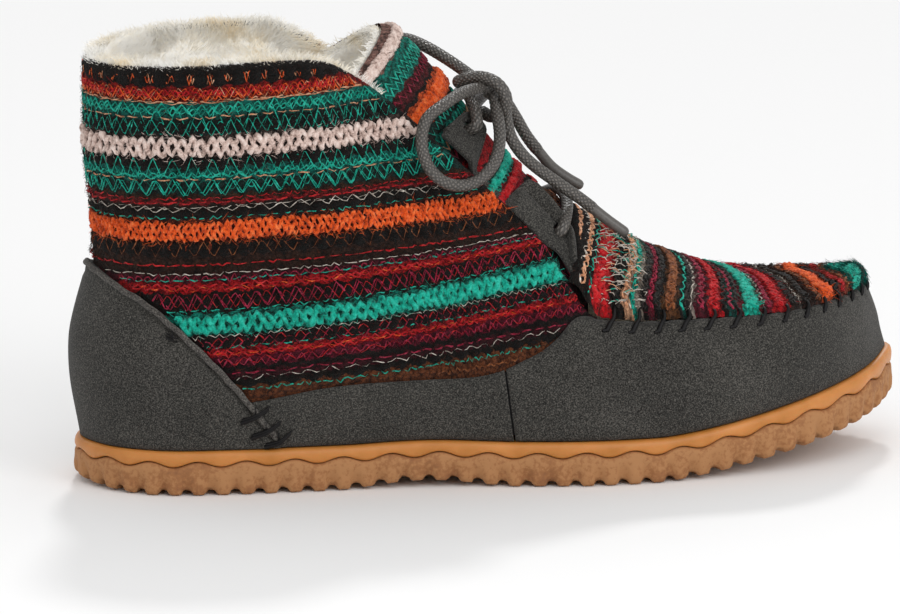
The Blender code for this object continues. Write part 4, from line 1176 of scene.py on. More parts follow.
def make_counter(suede, lip, thread):
    """Heel counter of suede up to where it runs out at the feather line, its lip and stitches."""
    ends = np.linspace(3, 4.2, 200)
    reach = float(np.interp(-0.012, -read("counter", ends), ends))

    def counter(a, b):
        turn = -reach + 2 * reach * a
        top = np.maximum(0.012, read("counter", turn))
        part = top * b
        base = wall(turn, part)
        tall = np.maximum(0.05, top) * 130
        down = (1 - b) * tall
        ditch = 1.3 * np.exp(-((down - 2.9) / 0.7) ** 2)
        height = (0.5 - ditch - 0.3 * smooth(0.97, 1, b) + 0.15 * lumps(base, 12 * MM)) * MM
        return raised(wall, turn, part, height), turn * 20, part * 60

    made = add_sheet("heel_counter_suede", 116, 32, counter, suede, ["heel_counter"])
    thicken(made, SUEDE_THICKNESS + 0.5 * MM)

    # The lip's lighter finish is painted highlight on the raised fold.
    turn = np.linspace(-reach + 0.02, reach - 0.02, 160)
    top = np.maximum(0.012, read("counter", turn))
    path = resample(raised(wall, turn, top - 0.004, 0.5 * MM), 1.2 * MM)
    bm = bmesh.new()
    add_tube(bm, path, 0.95 * MM, 12, lambda angle, way: 0.14 * np.sin(way / MM * 0.7 + angle))
    add_piece("heel_counter_lip", bm, lip)

    routes = []
    for ends, thick in COUNTER_STITCHES:
        for side in (1, -1):
            rows, parts = np.array(ends).T
            for turn_shift, part_shift, share in ((0, 0, 1.0), (0.015, 0.008, 0.8)):
                points = raised(wall, side * (rows + turn_shift), parts + part_shift,
                                np.array([0.9, 2.2, 0.8]) * MM)
                points = curve_through(points, 0.6 * MM)
                radii = thick * share * np.linspace(1.25, 0.7, len(points))
                routes.append((points, radii, 0, None))
            middle, above = np.array([rows[1]] * 3), parts[1] + np.array([0.0, 0.012, 0.026])
            points = raised(wall, side * middle, above, np.array([1.6, 1.5, 0.9]) * MM)
            routes.append((curve_through(points, 0.8 * MM), 0.25, 0, None))
    add_strands("counter_stitches", routes, [thread])


def seam_gaps(points, seam):
    """Distance in mm from points to the seam in plan, and the number of the seam's next point."""
    gaps = np.linalg.norm(points[:, None, :2] - seam[None, :, :2], axis=2)
    nearest = gaps.argmin(1)
    return gaps.min(1) / MM, nearest


def lid_side(turn, across, height):
    """Point over the plug beside the seam at a turn, at a share of the way across."""
    row = min(turn, LOOP - turn, LAST - 0.12)
    return point_over(lid, row, across if turn < LAST else 1 - across, height)


def stripe_place(points):
    """Millimetre of the plug's stripes, which bow back at its sides."""
    x, y = points[:, 0] / MM, points[:, 1] / MM
    shift = 10 * (1 - smooth(125, 208, x))
    return x - shift * (1 - np.minimum(1, abs(y) / 33) ** 2)


def make_plug(yarns, thread, step):
    """Striped knit plug, gathered and puffed over the seam, with its whip stitches and fringe."""
    knit = striped_knit("striped wool jersey, plug", PLUG_CHART)
    _, seam, ways = seam_line()
    rows = np.linspace(PLUG_START, LAST - 0.02, 600)
    middle = lid(rows, np.full(600, 0.5))
    run = lengths_along(middle)

    def plug_point(row, across):
        """The plug's plain form, its distance from the seam, its puff in mm and its overhang."""
        base = lid(row, across)
        gap, nearest = seam_gaps(base, seam)
        pinch = 0.5 + 0.5 * np.cos(2 * np.pi * (ways[nearest] - FIRST_STITCH) / step)
        front = smooth(180, 216, base[:, 0] / MM)
        swell = (2.6 + 0.6 * front) * (1 - 0.4 * pinch * np.exp(-gap / 4))
        puff = swell * (1 - np.exp(-gap / 1.4)) * (0.1 + 0.9 * np.exp(-gap / 11))
        rear = 1 - smooth(PLUG_START + 0.1, SEAM_START + 0.3, row)
        flat = smooth(140, 200, base[:, 0] / MM)
        puff = puff - 0.9 - (1.8 * flat + 0.8 * front) * smooth(2, 9, gap) + rear * 1.6
        puff = puff - 2.2 * (1 - smooth(PLUG_START, PLUG_START + 0.07, row))
        puff = puff - 1.7 * smooth(160, 195, base[:, 0] / MM) * smooth(0.2, 0.75, across)
        tuck = smooth(0, 7, (row - SEAM_START) * 24)
        outwards = unit(base - np.array([at(0.72), 0, 0]))
        outwards[:, 2] = 0
        push = 1.0 * np.exp(-((gap - 1.8) / 2.2) ** 2) * (0.5 + 0.8 * front)
        return base, gap, puff, outwards * (push * tuck)[:, None] * MM

    def form(a, b):
        row = np.interp(a * run[-1], run, rows)
        across = 0.5 - 0.5 * np.cos(np.pi * b)
        across = 0.35 * across + 0.65 * b
        base, gap, puff, push = plug_point(row, across)
        place = stripe_place(base)
        fuzz = 0.35 * lumps(base, 1.5 * MM) + 0.25 * lumps(base, 0.8 * MM, 4)
        ribs = 0.25 * np.cos(2 * np.pi * place / 3.3)
        gather = 0.45 * np.exp(-gap / 6) * lumps(base, 2.6 * MM, 7)
        height = (puff + fuzz + ribs + gather) * MM
        points = raised(lid, row, across, height) + push
        return points, base[:, 1] / MM, place

    add_sheet("plug_knit", 190, 120, form, knit, ["plug"], 0.002 * MM)

    draw = random.Random(31)
    row, across = np.array([
        (draw.uniform(SEAM_START + 0.05, LAST - 0.15), draw.uniform(0.01, 0.99))
        for _ in range(PLUG_HAIRS)
    ]).T
    base, _, puff, push = plug_point(row, across)
    tangents, normals = frame_of(lid, row, across)
    roots = base + normals * ((puff - 0.2) * MM)[:, None] + push
    spots = np.c_[base[:, 1] / MM, stripe_place(base)]
    routes = hair_routes(roots, tangents, normals, spots, [0] * len(row), draw, 2.2 * MM,
                         0.9 * MM)
    add_strands("plug_hairs", routes, [knit], 0.16 * MM, 0, ribbon=True)

    # Yarns that follow the stripes, found on a grid of places over the plug
    across_fine = np.linspace(0.015, 0.985, 60)
    rows_fine = np.linspace(PLUG_START + 0.08, LAST - 0.12, 220)
    grid_row, grid_across = np.meshgrid(rows_fine, across_fine, indexing="ij")
    grid = lid(grid_row, grid_across)
    places = stripe_place(grid.reshape(-1, 3)).reshape(grid_row.shape)
    routes = []
    for number, (place, swing, yarn, count, thick) in enumerate(PLUG_YARNS):
        for strand in range(count):
            share = np.linspace(0, 1, 110 if thick > 0.5 else 70)
            wave = np.cos(np.pi * np.arange(len(share)) * (0.34 if thick > 0.5 else 0.5)
                          + strand * 2.2 + number)
            across = 0.02 + 0.96 * share
            wanted = place + swing * wave + 0.3 * draw.uniform(-1, 1)
            row = np.array([
                np.interp(want, places[:, np.argmin(abs(across_fine - spot))], rows_fine,
                          np.nan, np.nan)
                for want, spot in zip(wanted, across)
            ])
            fine = ~np.isnan(row)
            if fine.sum() < 8:
                continue
            row, across = row[fine], across[fine]
            _, _, puff, push = plug_point(row, across)
            points = raised(lid, row, across, (puff + 0.15) * MM) + push
            cuts = np.where(np.linalg.norm(np.diff(points, axis=0), axis=1) > 6 * MM)[0] + 1
            for stretch in np.split(points, cuts):
                if len(stretch) < 5:
                    continue
                stretch = resample(stretch, 1.05 * MM)
                stray = np.array([draw.uniform(-1, 1) for _ in stretch])
                radii = 0.85 * thick + 0.4 * thick * stray
                routes.append((stretch, radii, YARN_NUMBERS[yarn], None))
    crumple(add_strands("plug_yarns", routes, yarns), 0.3 * MM, 0.8 * MM)

    make_whip_stitches(thread, step)
    make_fringe(yarns, draw)


def make_whip_stitches(thread, step):
    """Whip stitches over the toe seam, each with a tail down the vamp."""
    seam_turns, _, ways = seam_line()
    stitches = []
    for way in np.arange(FIRST_STITCH, ways[-1] - 3, step):
        turn = float(np.interp(way, ways, seam_turns))
        lean = 0.1 if turn < LAST else -0.1
        foot = point_over(wall, turn - lean, 0.90, 0.25 * MM)
        low = point_over(wall, turn - lean * 0.5, 0.955, 1.0 * MM)
        edge = point_over(wall, turn, 1.0, 0.9 * MM)
        high = 1.0 if turn < LAST else 0.4
        inner = lid_side(turn, 0.014, 0.8 * high * MM)
        end = lid_side(turn, 0.026, -0.8 * MM)
        path = curve_through([foot, low, edge, inner, end], 0.8 * MM)
        stitches.append((path, np.linspace(0.85, 0.42, len(path)), 0, None))
        tail = point_over(wall, turn - lean * 1.6, 0.89, 0.5 * MM)
        stitches.append(([low, foot, tail], [0.6, 0.75, 0.45], 0, None))
    add_strands("whip_stitches", stitches, [thread])


def make_fringe(yarns, draw):
    """Pulled threads at the plug's rear corner on the lateral side."""
    fringe = []
    for _ in range(190):
        row = draw.gauss(8.22, 0.16)
        across = draw.uniform(0.02, 0.36)
        start = point_over(lid, row, across, 1.6 * MM)
        tangent, normal = (v[0] for v in frame_of(lid, np.array([row]), np.array([across])))
        other = np.cross(normal, tangent)
        way = tangent * draw.choice([-1, 1]) * draw.uniform(0.4, 1.1)
        way = way - other * draw.uniform(-0.4, 0.6)
        size = draw.uniform(1.5, 4.5) * MM
        middle = start + way * size * 0.5 + normal * draw.uniform(0.4, 1.4) * MM
        end = start + way * size + tangent * draw.uniform(-1.5, 1.5) * MM
        yarn = YARN_NUMBERS[draw.choice(["white", "peach", "white", "teal", "white"])]
        fringe.append(([start, middle, end], [0.16, 0.16, 0.08], yarn, None))
    add_strands("plug_fringe", fringe, yarns, MM, 0)


def make_tongue(yarns, fur):
    """Striped knit tongue with thick piles, and the cream pile on its inner side."""
    knit = striped_knit("striped wool jersey, tongue", TONGUE_CHART)
    depth = KNIT_DEPTH + WALL_THICKNESS + FIT_GAP
    rows = np.linspace(CORNER - 0.10, SEAM_START - 0.15, 300)
    middle = lid(rows, np.full(300, 0.5))
    run = lengths_along(middle)

    def spot(row, place, sink):
        """Points on the tongue's outer face, or sunk below it."""
        across = np.clip(place - 1, 0, 1)
        lift = unit(crown(row)) * (depth * (4 * across * (1 - across)) ** 2)[:, None]
        return raised(girth, row, place, -(depth + sink)) + lift

    def form_at(depth_below, inner):
        """The outer or the inner face, at a depth in mm."""

        def form(a, b):
            row = np.interp(a * run[-1], run, rows)
            place = 0.90 + 1.20 * b
            base = spot(row, place, 0 * row)
            down = a * run[-1] / MM
            height = 0.5 * lumps(base, 1.8 * MM) + 0.3 * lumps(base, 0.9 * MM, 5)
            if inner:
                height = height - 0.8 * lumps(base, 3 * MM, 8) - 0.6
            edge = 1.4 * (1 - smooth(0, 2.5, down))
            sink = (depth_below + edge * (-1 if inner else 1) - height) * MM
            return spot(row, place, sink), (place - 1) * 60, down - 3 * np.sin(np.pi * b)

        return form

    add_sheet("tongue_knit", 120, 90, form_at(-0.4, False), knit, ["tongue"])
    add_sheet("tongue_lining", 90, 70, form_at(3.2, True), fur)

    draw = random.Random(51)
    routes = []
    for down, swing, yarn in ((2.0, 1.6, "cream"), (24.5, 2.6, "orange"), (58.0, 0.8, "teal"),
                              (62.5, 1.0, "red"), (101.0, 2.8, "red")):
        if down * MM > run[-1] - 3 * MM:
            continue
        for strand in range(3):
            shares = np.linspace(0.02, 0.98, 110)
            steps = down + swing * np.cos(np.arange(110) * 1.3 + strand * 2.1)
            steps = steps + 3 * np.sin(np.pi * shares)
            row = np.interp(np.clip(steps, 0.5, run[-1] / MM) * MM, run, rows)
            points = spot(row, 0.9 + 1.2 * shares, np.full(110, -1.0 * MM))
            path = resample(points, 0.9 * MM)
            radii = 0.9 + 0.3 * np.array([draw.uniform(-1, 1) for _ in path])
            routes.append((path, radii, YARN_NUMBERS[yarn], None))
    for down, yarn, radius in ((9, "teal", 0.35), (11.5, "teal", 0.35), (15.5, "burgundy", 0.3),
                               (31, "teal", 0.3), (35, "teal", 0.35), (38, "peach", 0.25),
                               (42, "burgundy", 0.3), (54, "white", 0.25), (59, "teal", 0.35),
                               (70, "red", 0.35), (79, "rust", 0.3), (85, "burgundy", 0.3)):
        shares = np.linspace(0.02, 0.98, 60)
        steps = down + 1.3 * np.cos(np.arange(60) * np.pi) + 3 * np.sin(np.pi * shares)
        row = np.interp(np.clip(steps, 0.5, run[-1] / MM) * MM, run, rows)
        points = spot(row, 0.9 + 1.2 * shares, np.full(60, -0.8 * MM))
        routes.append((points, radius, YARN_NUMBERS[yarn], None))
    crumple(add_strands("tongue_piles", routes, yarns), 0.25 * MM, 1.1 * MM)

    hairs = []
    for _ in range(900):
        share = draw.uniform(0.12, 0.88)
        row = np.array([CORNER - 0.10 + abs(draw.gauss(0, 0.05))])
        start = spot(row, np.array([0.9 + 1.2 * share]), np.array([2.4 * MM]))[0]
        tangent, normal = (v[0] for v in frame_of(girth, row, np.array([0.9 + 1.2 * share])))
        way = -tangent * draw.uniform(0.4, 1.2) + np.cross(normal, tangent) * draw.uniform(-1, 1)
        way = way - normal * draw.uniform(-0.3, 1)
        size = draw.uniform(1.2, 3.2) * MM
        hairs.append(([start, start + way * size * 0.6, start + way * size
                       + normal * draw.uniform(-1, 1) * MM], [1, 0.8, 0.3], 0, None))
    add_strands("tongue_lining_hairs", hairs, [fur], 0.35 * MM, 0, ribbon=True)


# Eyestays

# Leaf tabs: row of start, peak and end, reach over the instep, row and reach of the eyelet
TABS = [(5.44, 5.68, 5.88, 0.27, 5.64, 0.165), (5.95, 6.35, 7.85, 0.20, 7.20, 0.105)]

# Rows where the suede of both leaves starts and ends
LEAF_START, LEAF_END = 5.53, 7.46


def tab_reach(row):
    """How far over the instep the eyestay reaches at rows."""
    reach = np.full(np.shape(row), TAB_STRIP)
    for start, peak, end, far, _, _ in TABS:
        rising, falling = (row - start) / (peak - start), (end - row) / (end - peak)
        lobe = np.sin(np.pi / 2 * np.clip(np.minimum(rising, falling), 0, 1)) ** 0.7
        reach = np.maximum(reach, TAB_STRIP + (far - TAB_STRIP) * lobe)
    return reach


def tab_form(side):
    """The eyestay's outer face on one side: row and share across give points."""

    def form(row, across):
        place = 1 + across if side > 0 else 2 - across
        lift = unit(crown(row)) * (TAB_RISE * across / TABS[0][3])[..., None]
        return girth(row, place) + lift

    return form


def eyelet_at(side, tab, height):
    """Point over an eyelet's centre at a height, and the tab's normal there."""
    form = tab_form(side)
    row, across = np.array([tab[4]]), np.array([tab[5]])
    _, normal = frame_of(form, row, across)
    normal = normal if np.dot(normal[0], crown(row)[0]) > 0 else -normal
    point = form(row, across) + normal * (height - SUEDE_THICKNESS - FIT_GAP)
    return point[0], normal[0]


def make_eyestays(suede, rings):
    """Suede eyestays with two leaf tabs a side, turned rims and dark eyelets."""
    for side, name in ((1, "lateral"), (-1, "medial")):
        form = tab_form(side)
        centres = [eyelet_at(side, tab, 0)[0] for tab in TABS]

        def patch(a, b, side=side, form=form):
            row = LEAF_START + (LEAF_END - LEAF_START) * a
            reach = tab_reach(row)
            broad = smooth(TAB_STRIP, TAB_STRIP + 0.07, reach)
            ends = smooth(0, 0.07, row - LEAF_START) * smooth(0, 0.12, LEAF_END - row)
            between = smooth(5.72, 5.83, row) * (1 - smooth(6.2, 6.38, row))
            ends = ends**0.6 * (1 - between)
            reach = TAB_STRIP + (reach - TAB_STRIP) * ends
            broad = broad * (1 - between)
            low = TAB_BASE - 0.035 * broad * smooth(5.9, 6.3, row) * (1 - smooth(6.9, 7.3, row))
            across = low + (reach - low) * b
            rim_fold = smooth(0.8, 1, b) * (1 + 1.6 * smooth(6.2, 6.6, row))
            line = np.exp(-((b - 0.74) / 0.07) ** 2) * smooth(6.2, 6.5, row)
            curl = broad * (1.1 * rim_fold - 1.0 * line + 0.4 * smooth(0.2, 0, b))
            height = curl - 0.6 - 2.4 * (1 - broad) - 1.6 * between
            height = height + 0.15 * lumps(form(row, across), 6 * MM)
            return raised(form, row, across, height * MM * side), row * 20, across * 60

        bm = bmesh.new()
        add_patch(bm, 124, 20, patch)
        holes = [face for face in bm.faces if min(
            (face.calc_center_median() - Vector(centre)).length for centre in centres
        ) < EYELET_DIAMETER / 2 * 0.9]
        bmesh.ops.delete(bm, geom=holes, context="FACES")
        made = add_piece(f"eyestay_{name}_suede", bm, suede, [f"eyestay_{name}"],
                         outward_faces=False)
        thicken(made, SUEDE_THICKNESS, 0.0)
        bm = bmesh.new()
        for tab in TABS:
            point, normal = eyelet_at(side, tab, 0.9 * MM)
            angles = np.linspace(0, 2 * np.pi, 41)
            first = unit(np.cross(normal, (0.2, 0.1, 1)))
            second = np.cross(normal, first)
            ring = point + EYELET_DIAMETER * 0.44 * (
                first * np.cos(angles)[:, None] + second * np.sin(angles)[:, None])
            add_tube(bm, ring, 0.75 * MM, 8, round_ends=False)
        add_piece(f"eyelets_{name}", bm, rings)


# Laces

KNOT_CENTRE = np.array([94.5, -8, 121.5]) * MM

# Routes of the loops and ends in mm, each from the knot on, and the turn that binds the knot
LACE_ROUTES = {
    "lace_loop_lateral": [
        (90.7, -11.5, 123.2), (82.5, -20, 123.5), (75, -27, 121.5), (68, -31.5, 117.5),
        (65.8, -35, 110.5), (67.6, -37, 103.5), (72.6, -37.5, 98.5), (79, -37, 97.2),
        (85, -35, 98.8), (90.5, -30, 103.0), (93.6, -23, 109.5), (94.4, -12.7, 118.8),
    ],
    "lace_loop_medial": [
        (90.4, -5.6, 124.2), (83, 1, 129.5), (76, 8, 133.5), (71, 16, 134.5), (67, 25, 131),
        (66, 33, 124), (69, 38, 115), (75, 39.5, 107), (83, 38, 103), (90, 32.5, 104.5),
        (95, 24, 110), (97.5, 12, 117.5), (95.3, -3.0, 121.3),
    ],
    "lace_end_far": [
        (98.7, -5.0, 118.6), (103, -3.2, 111.8), (107, -2.2, 105), (111.5, -1, 99.2),
        (115.6, 0, 94.4), (120.5, 0.3, 90.6), (126, 0.5, 87.2),
    ],
    "lace_end_near": [
        (97.9, -10.0, 117.7), (98.6, -14.4, 108.8), (102, -15.5, 102.6), (107, -16, 97.6),
        (114.4, -16.5, 92.0), (122, -17, 86.4), (129.5, -17.5, 80.2), (136.4, -18, 75.0),
    ],
}
KNOT_WRAP = [
    (82.5, -5.5, 123.5), (86, -8.5, 125.6), (90.5, -11.5, 126.4), (94.6, -14.3, 124.8),
    (97.2, -15.4, 120.6), (96.8, -14, 116), (94, -9.5, 113.4), (91, -4, 114.5),
]


def braid(tip=0.0, total=0.0):
    """Relief of a round braid, faded out over the waxed tip of an end."""

    def relief(angle, way):
        along = np.pi * way / (1.7 * MM)
        height = 0.06 * (abs(np.sin(4 * angle + along) * np.sin(4 * angle - along)) - 0.6)
        fade = smooth(total - tip, total - tip + 1.5 * MM, way) if tip else 0 * way
        return height * (1 - fade) - 0.11 * fade

    return relief


def make_laces(cord, tip_cord):
    """Waxed cord laces: the knot, and two loops and two ends, each a piece of its own."""
    bm = bmesh.new()
    heart = KNOT_CENTRE + np.array([0.5, -1.0, 0.3]) * MM
    for name in ("lace_loop_lateral", "lace_loop_medial"):
        path = np.array(LACE_ROUTES[name]) * MM
        for mouth, inner in ((path[0], path[1]), (path[-1], path[-2])):
            stub = curve_through([mouth + (inner - mouth) * 0.15, mouth, heart], 0.5 * MM)
            add_tube(bm, stub, LACE_DIAMETER / 2, 20, braid())
    path = curve_through(np.array(KNOT_WRAP) * MM, 0.5 * MM)
    add_tube(bm, path, LACE_DIAMETER / 2 * 1.06, 24, braid())
    made = bmesh.ops.create_icosphere(bm, subdivisions=3, radius=3.4 * MM)["verts"]
    bmesh.ops.translate(bm, verts=made, vec=Vector(KNOT_CENTRE))
    knot = add_piece("knot_cord", bm, cord, ["lace_knot"])
    for name, route in LACE_ROUTES.items():
        path = curve_through(np.array(route) * MM, 0.5 * MM)
        total = float(lengths_along(path)[-1])
        end = name.startswith("lace_end")
        bm = bmesh.new()
        tip = (15 * MM if name.endswith("near") else 21 * MM) if end else 0.0
        add_tube(bm, path, LACE_DIAMETER / 2, 24, braid(tip, total))
        layer = bm.loops.layers.uv.verify()
        for face in bm.faces:
            along = max(loop[layer].uv.y for loop in face.loops)
            face.material_index = int(end and along * MM > total - tip + MM)
        piece = add_piece(name + "_cord", bm, [cord, tip_cord], [name])
        [[float(value) for value in point] for point in path]


def make_lace_bars(cord):
    """The laces' runs from hole to hole, behind the knot and over the tongue."""
    behind = KNOT_CENTRE - np.array([5 * MM + LACE_DIAMETER / 2 + 0.8 * MM, 0, MM])
    rest = -0.5 * SUEDE_THICKNESS
    upper = [eyelet_at(1, TABS[0], rest - 2 * MM)[0], eyelet_at(1, TABS[0], UPPER_BAR_RISE)[0]]
    upper += [behind, behind + np.array([0, KNOT_BACK_SPAN, 0])]
    upper += [eyelet_at(-1, TABS[0], UPPER_BAR_RISE)[0], eyelet_at(-1, TABS[0], rest - 2 * MM)[0]]
    low = TABS[1]
    lower = [eyelet_at(1, low, rest - 2 * MM)[0], eyelet_at(1, low, LOWER_BAR_RISE)[0]]
    for across in (0.3, 0.5, 0.7):
        over = lid(np.array([low[4] + 0.1]), np.array([across]))[0]
        lower.append(over + unit(crown(np.array([low[4]])))[0] * (LACE_DIAMETER / 2 + MM))
    lower += [eyelet_at(-1, low, LOWER_BAR_RISE)[0], eyelet_at(-1, low, rest - 2 * MM)[0]]
    for name, route in (("lace_bar_upper", upper), ("lace_bar_lower", lower)):
        bm = bmesh.new()
        add_tube(bm, curve_through(route, 0.5 * MM), LACE_DIAMETER / 2 * 0.98, 20, braid())
        add_piece(name + "_cord", bm, cord, [name])


# Sole


def lug_place(turn):
    """Number of the lug and the part of it at turns, the same on both sides."""
    fine = np.linspace(0, LAST, 1200)
    steps = lengths_along(rim(fine, 0 * fine))
    count = 2 * round(steps[-1] / LUG_PITCH / 2)
    row = np.minimum(turn % LOOP, LOOP - turn % LOOP)
    return np.interp(row, fine, steps) / steps[-1] * count


def loop_turns(count):
    """Turns spaced evenly along the sole's outline, from the heel round and back."""
    fine = np.linspace(0, LOOP, 2400)
    steps = lengths_along(rim(fine, 0 * fine))
    return np.interp(np.linspace(0, steps[-1], count + 1), steps, fine)


def spine(turn, inset):
    """Points midway between both sides of the sole at turns."""
    return (rim(turn, inset) + rim(-turn, inset)) / 2


# Sidewall of the tread: share of the height, inset and groove's inset in mm, share of the
# lug's depth
TREAD_STEPS = [
    (1.00, 4.0, 0.0, 0.0), (1.00, 1.0, 0.0, 0.0), (0.95, 0.45, 0.0, 0.0), (0.86, 0.15, 0.1, 0.0),
    (0.74, 0.05, 0.25, 0.0), (0.62, 0.05, 0.5, 0.0), (0.50, 0.05, 0.9, 0.0),
    (0.38, 0.0, 1.3, 0.1), (0.27, 0.05, 1.7, 0.35), (0.17, 0.25, 2.1, 0.6),
    (0.09, 0.6, 2.5, 0.85), (0.03, 1.15, 3.0, 0.95), (0.0, 2.2, 3.8, 1.0), (0.0, 4.5, 5.4, 0.9),
    (0.0, 6.8, 7.2, 0.5), (0.0, 9.0, 9.0, 0.0),
]

# Sidewall of the band: share of the height, inset in mm
BAND_STEPS = [
    (0.0, 5.0), (0.0, 1.2), (0.04, 0.65), (0.14, 0.3), (0.32, 0.12), (0.52, 0.1), (0.72, 0.28),
    (0.87, 0.6), (0.96, 1.1), (1.0, 1.8), (1.0, 3.2), (1.0, 12.0), (1.0, 20.0),
]


# Faces round the sole
SOLE_FACES = 760


def make_tread(gum):
    """Gum rubber tread with cobbled lugs round it and shallow blocks under it."""
    turns = loop_turns(SOLE_FACES)
    table = np.array(TREAD_STEPS)
    inner_steps = 16

    def tread(a, b):
        turn = turns[np.round(a * SOLE_FACES).astype(int)]
        level = np.round(b * (len(table) - 1 + inner_steps)).astype(int)
        step = np.minimum(level, len(table) - 1)
        share, inset, groove_inset, lift = table[step].T
        lug = lug_place(turn)
        part = lug % 1
        groove = 1 - smooth(0.1, 0.42, part) * (1 - smooth(0.78, 1.02, part))
        odd = np.sin(np.floor(lug) * 12.9898 + np.sign(turn - LAST)) * 43758.5453 % 1
        knuckle = 0.35 * np.sin(np.pi * np.clip((part - 0.2) / 0.7, 0, 1) + odd) * smooth(
            0.75, 0.4, share) * smooth(0.0, 0.1, share)
        into = (inset + groove * np.maximum(0, groove_inset - inset) - knuckle + 0.3 * odd
                * smooth(0.6, 0.3, share)) * MM
        points = rim(turn, into)
        x = points[:, 0]
        wave = WAVE_HEIGHT * np.sin(np.pi * lug) * smooth(0.5, 1, share)
        high = band_bottom(x) - 0.05 * MM + wave
        low = sole_bottom(x)
        points[:, 2] = low + (high - low) * share
        points[:, 2] = np.maximum(points[:, 2], low + LUG_DEPTH * lift * groove)
        points += outward(turn) * (
            0.16 * MM * lumps(points, 2.2 * MM) * smooth(0.0, 0.2, share)
            * smooth(1.0, 0.9, share))[:, None]
        inner = np.clip((level - len(table) + 1) / inner_steps, 0, 1)
        middle = spine(turn, 9 * MM)
        flat = points * (1 - inner)[:, None] + middle * inner[:, None]
        base = sole_bottom(flat[:, 0])
        cells = np.minimum(
            abs((flat[:, 0] / (8 * MM)) % 1 - 0.5), abs((flat[:, 1] / (9 * MM)) % 1 - 0.5))
        dip = 1.6 * MM * (1 - smooth(0.05, 0.14, cells)) * smooth(0, 0.25, inner)
        points = np.where((inner > 0)[:, None], flat, points)
        points[:, 2] = np.where(inner > 0, base + dip, points[:, 2])
        return points, lug * 8, share * 15

    add_sheet("gum_outsole", SOLE_FACES, len(table) - 1 + inner_steps, tread, gum,
              ["outsole"], closed=True)


def make_band(amber):
    """Smooth amber band between tread and upper."""
    turns = loop_turns(SOLE_FACES)
    band_steps = np.array(BAND_STEPS)

    def band(a, b):
        turn = turns[np.round(a * SOLE_FACES).astype(int)]
        share, inset = band_steps[np.round(b * (len(band_steps) - 1)).astype(int)].T
        points = rim(turn, inset * MM)
        x = points[:, 0]
        wave = WAVE_HEIGHT * np.sin(np.pi * lug_place(turn))
        low = band_bottom(x) + 0.25 * MM + wave * (1 - smooth(0, 0.4, share))
        points[:, 2] = low + (sole_top(x) - low) * share
        return points, lug_place(turn) * 8, share * 5

    add_sheet("amber_band", SOLE_FACES, len(band_steps) - 1, band, amber,
              ["midsole"], closed=True)


def make_insole(fur):
    """Pile-covered insole."""
    inset = 7.2 * MM

    def pile(a, b):
        turn = a * LAST
        side = 2 * b - 1
        edge = np.where((side < 0)[:, None], rim(turn, inset + 0 * turn),
                        rim(-turn, inset + 0 * turn))
        reach = np.sqrt(abs(side))
        points = spine(turn, inset + 0 * turn) * (1 - reach)[:, None] + edge * reach[:, None]
        points[:, 2] = sole_top(points[:, 0]) + INSOLE_THICKNESS + FIT_GAP
        points[:, 2] += (0.8 * lumps(points, 4 * MM) + 0.5 * lumps(points, 1.8 * MM, 3)) * MM
        return points, turn * 20, b * 60

    add_sheet("insole_pile", 130, 50, pile, fur, ["insole"], closed=True)


# Stage


# The camera's turn round the boot and its rise in degrees, its aim and the width it sees there
CAMERA_TURN, CAMERA_RISE = 12.47, 12.0
CAMERA_AIM, SEEN_WIDTH = (0.0826, 0, 0.0503), 0.2858
SENSOR_WIDTH = 36


def make_stage(sizes):
    """White paper floor, soft studio light and the photograph's camera."""
    scene = bpy.context.scene
    bm = bmesh.new()
    bmesh.ops.create_circle(bm, cap_ends=True, segments=64, radius=9)
    mesh = bpy.data.meshes.new("studio_floor")
    bm.to_mesh(mesh)
    bm.free()
    floor = bpy.data.objects.new("studio_floor", mesh)
    scene.collection.objects.link(floor)
    paper, _, shader = new_finish("matt white studio paper", 0.9, Specular_IOR_Level=0.1)
    shader.inputs["Base Color"].default_value = linear("#F7F7F7")
    mesh.materials.append(paper)

    world = bpy.data.worlds.new("studio")
    world.use_nodes = True
    sky = world.node_tree.nodes["Background"]
    sky.inputs["Color"].default_value = linear("#FFFFFF")
    sky.inputs["Strength"].default_value = sizes.ambient
    scene.world = world
    for name, kind, place, size, power in (
        ("key", "SUN", (0.042, 0.147, 0.138), math.radians(7), sizes.key_power),
        ("fill", "AREA", (0.75, -1.3, 0.75), 0.9, sizes.fill_power),
        ("front", "AREA", (-0.3, -1.5, 1.5), 0.8, sizes.fill_power * 0.6),
    ):
        light = bpy.data.lights.new(name, kind)
        light.energy = power
        if kind == "SUN":
            light.angle = size
        else:
            light.size = size
        lamp = bpy.data.objects.new(name, light)
        lamp.location = place
        aim = -Vector(place) if kind == "SUN" else Vector((0.09, 0, 0.05)) - Vector(place)
        lamp.rotation_euler = aim.to_track_quat("-Z", "Y").to_euler()
        scene.collection.objects.link(lamp)

    turn, rise = math.radians(CAMERA_TURN), math.radians(CAMERA_RISE)
    back = Vector((-math.sin(turn) * math.cos(rise), -math.cos(turn) * math.cos(rise),
                   math.sin(rise)))
    lens = bpy.data.cameras.new("camera")
    lens.lens = sizes.focal_length
    lens.sensor_width = SENSOR_WIDTH
    camera = bpy.data.objects.new("camera", lens)
    distance = SEEN_WIDTH * sizes.focal_length / SENSOR_WIDTH
    camera.location = Vector(CAMERA_AIM) + back * distance
    camera.rotation_euler = (-back).to_track_quat("-Z", "Y").to_euler()
    scene.collection.objects.link(camera)
    scene.camera = camera
    scene.view_settings.view_transform = "Standard"


# Add-on


def color_setting(name, code):
    """A colour that the user can change."""
    return bpy.props.FloatVectorProperty(
        name=name, description=f"Main colour of the {name.lower()}", default=linear(code),
        size=4, subtype="COLOR", min=0, max=1)


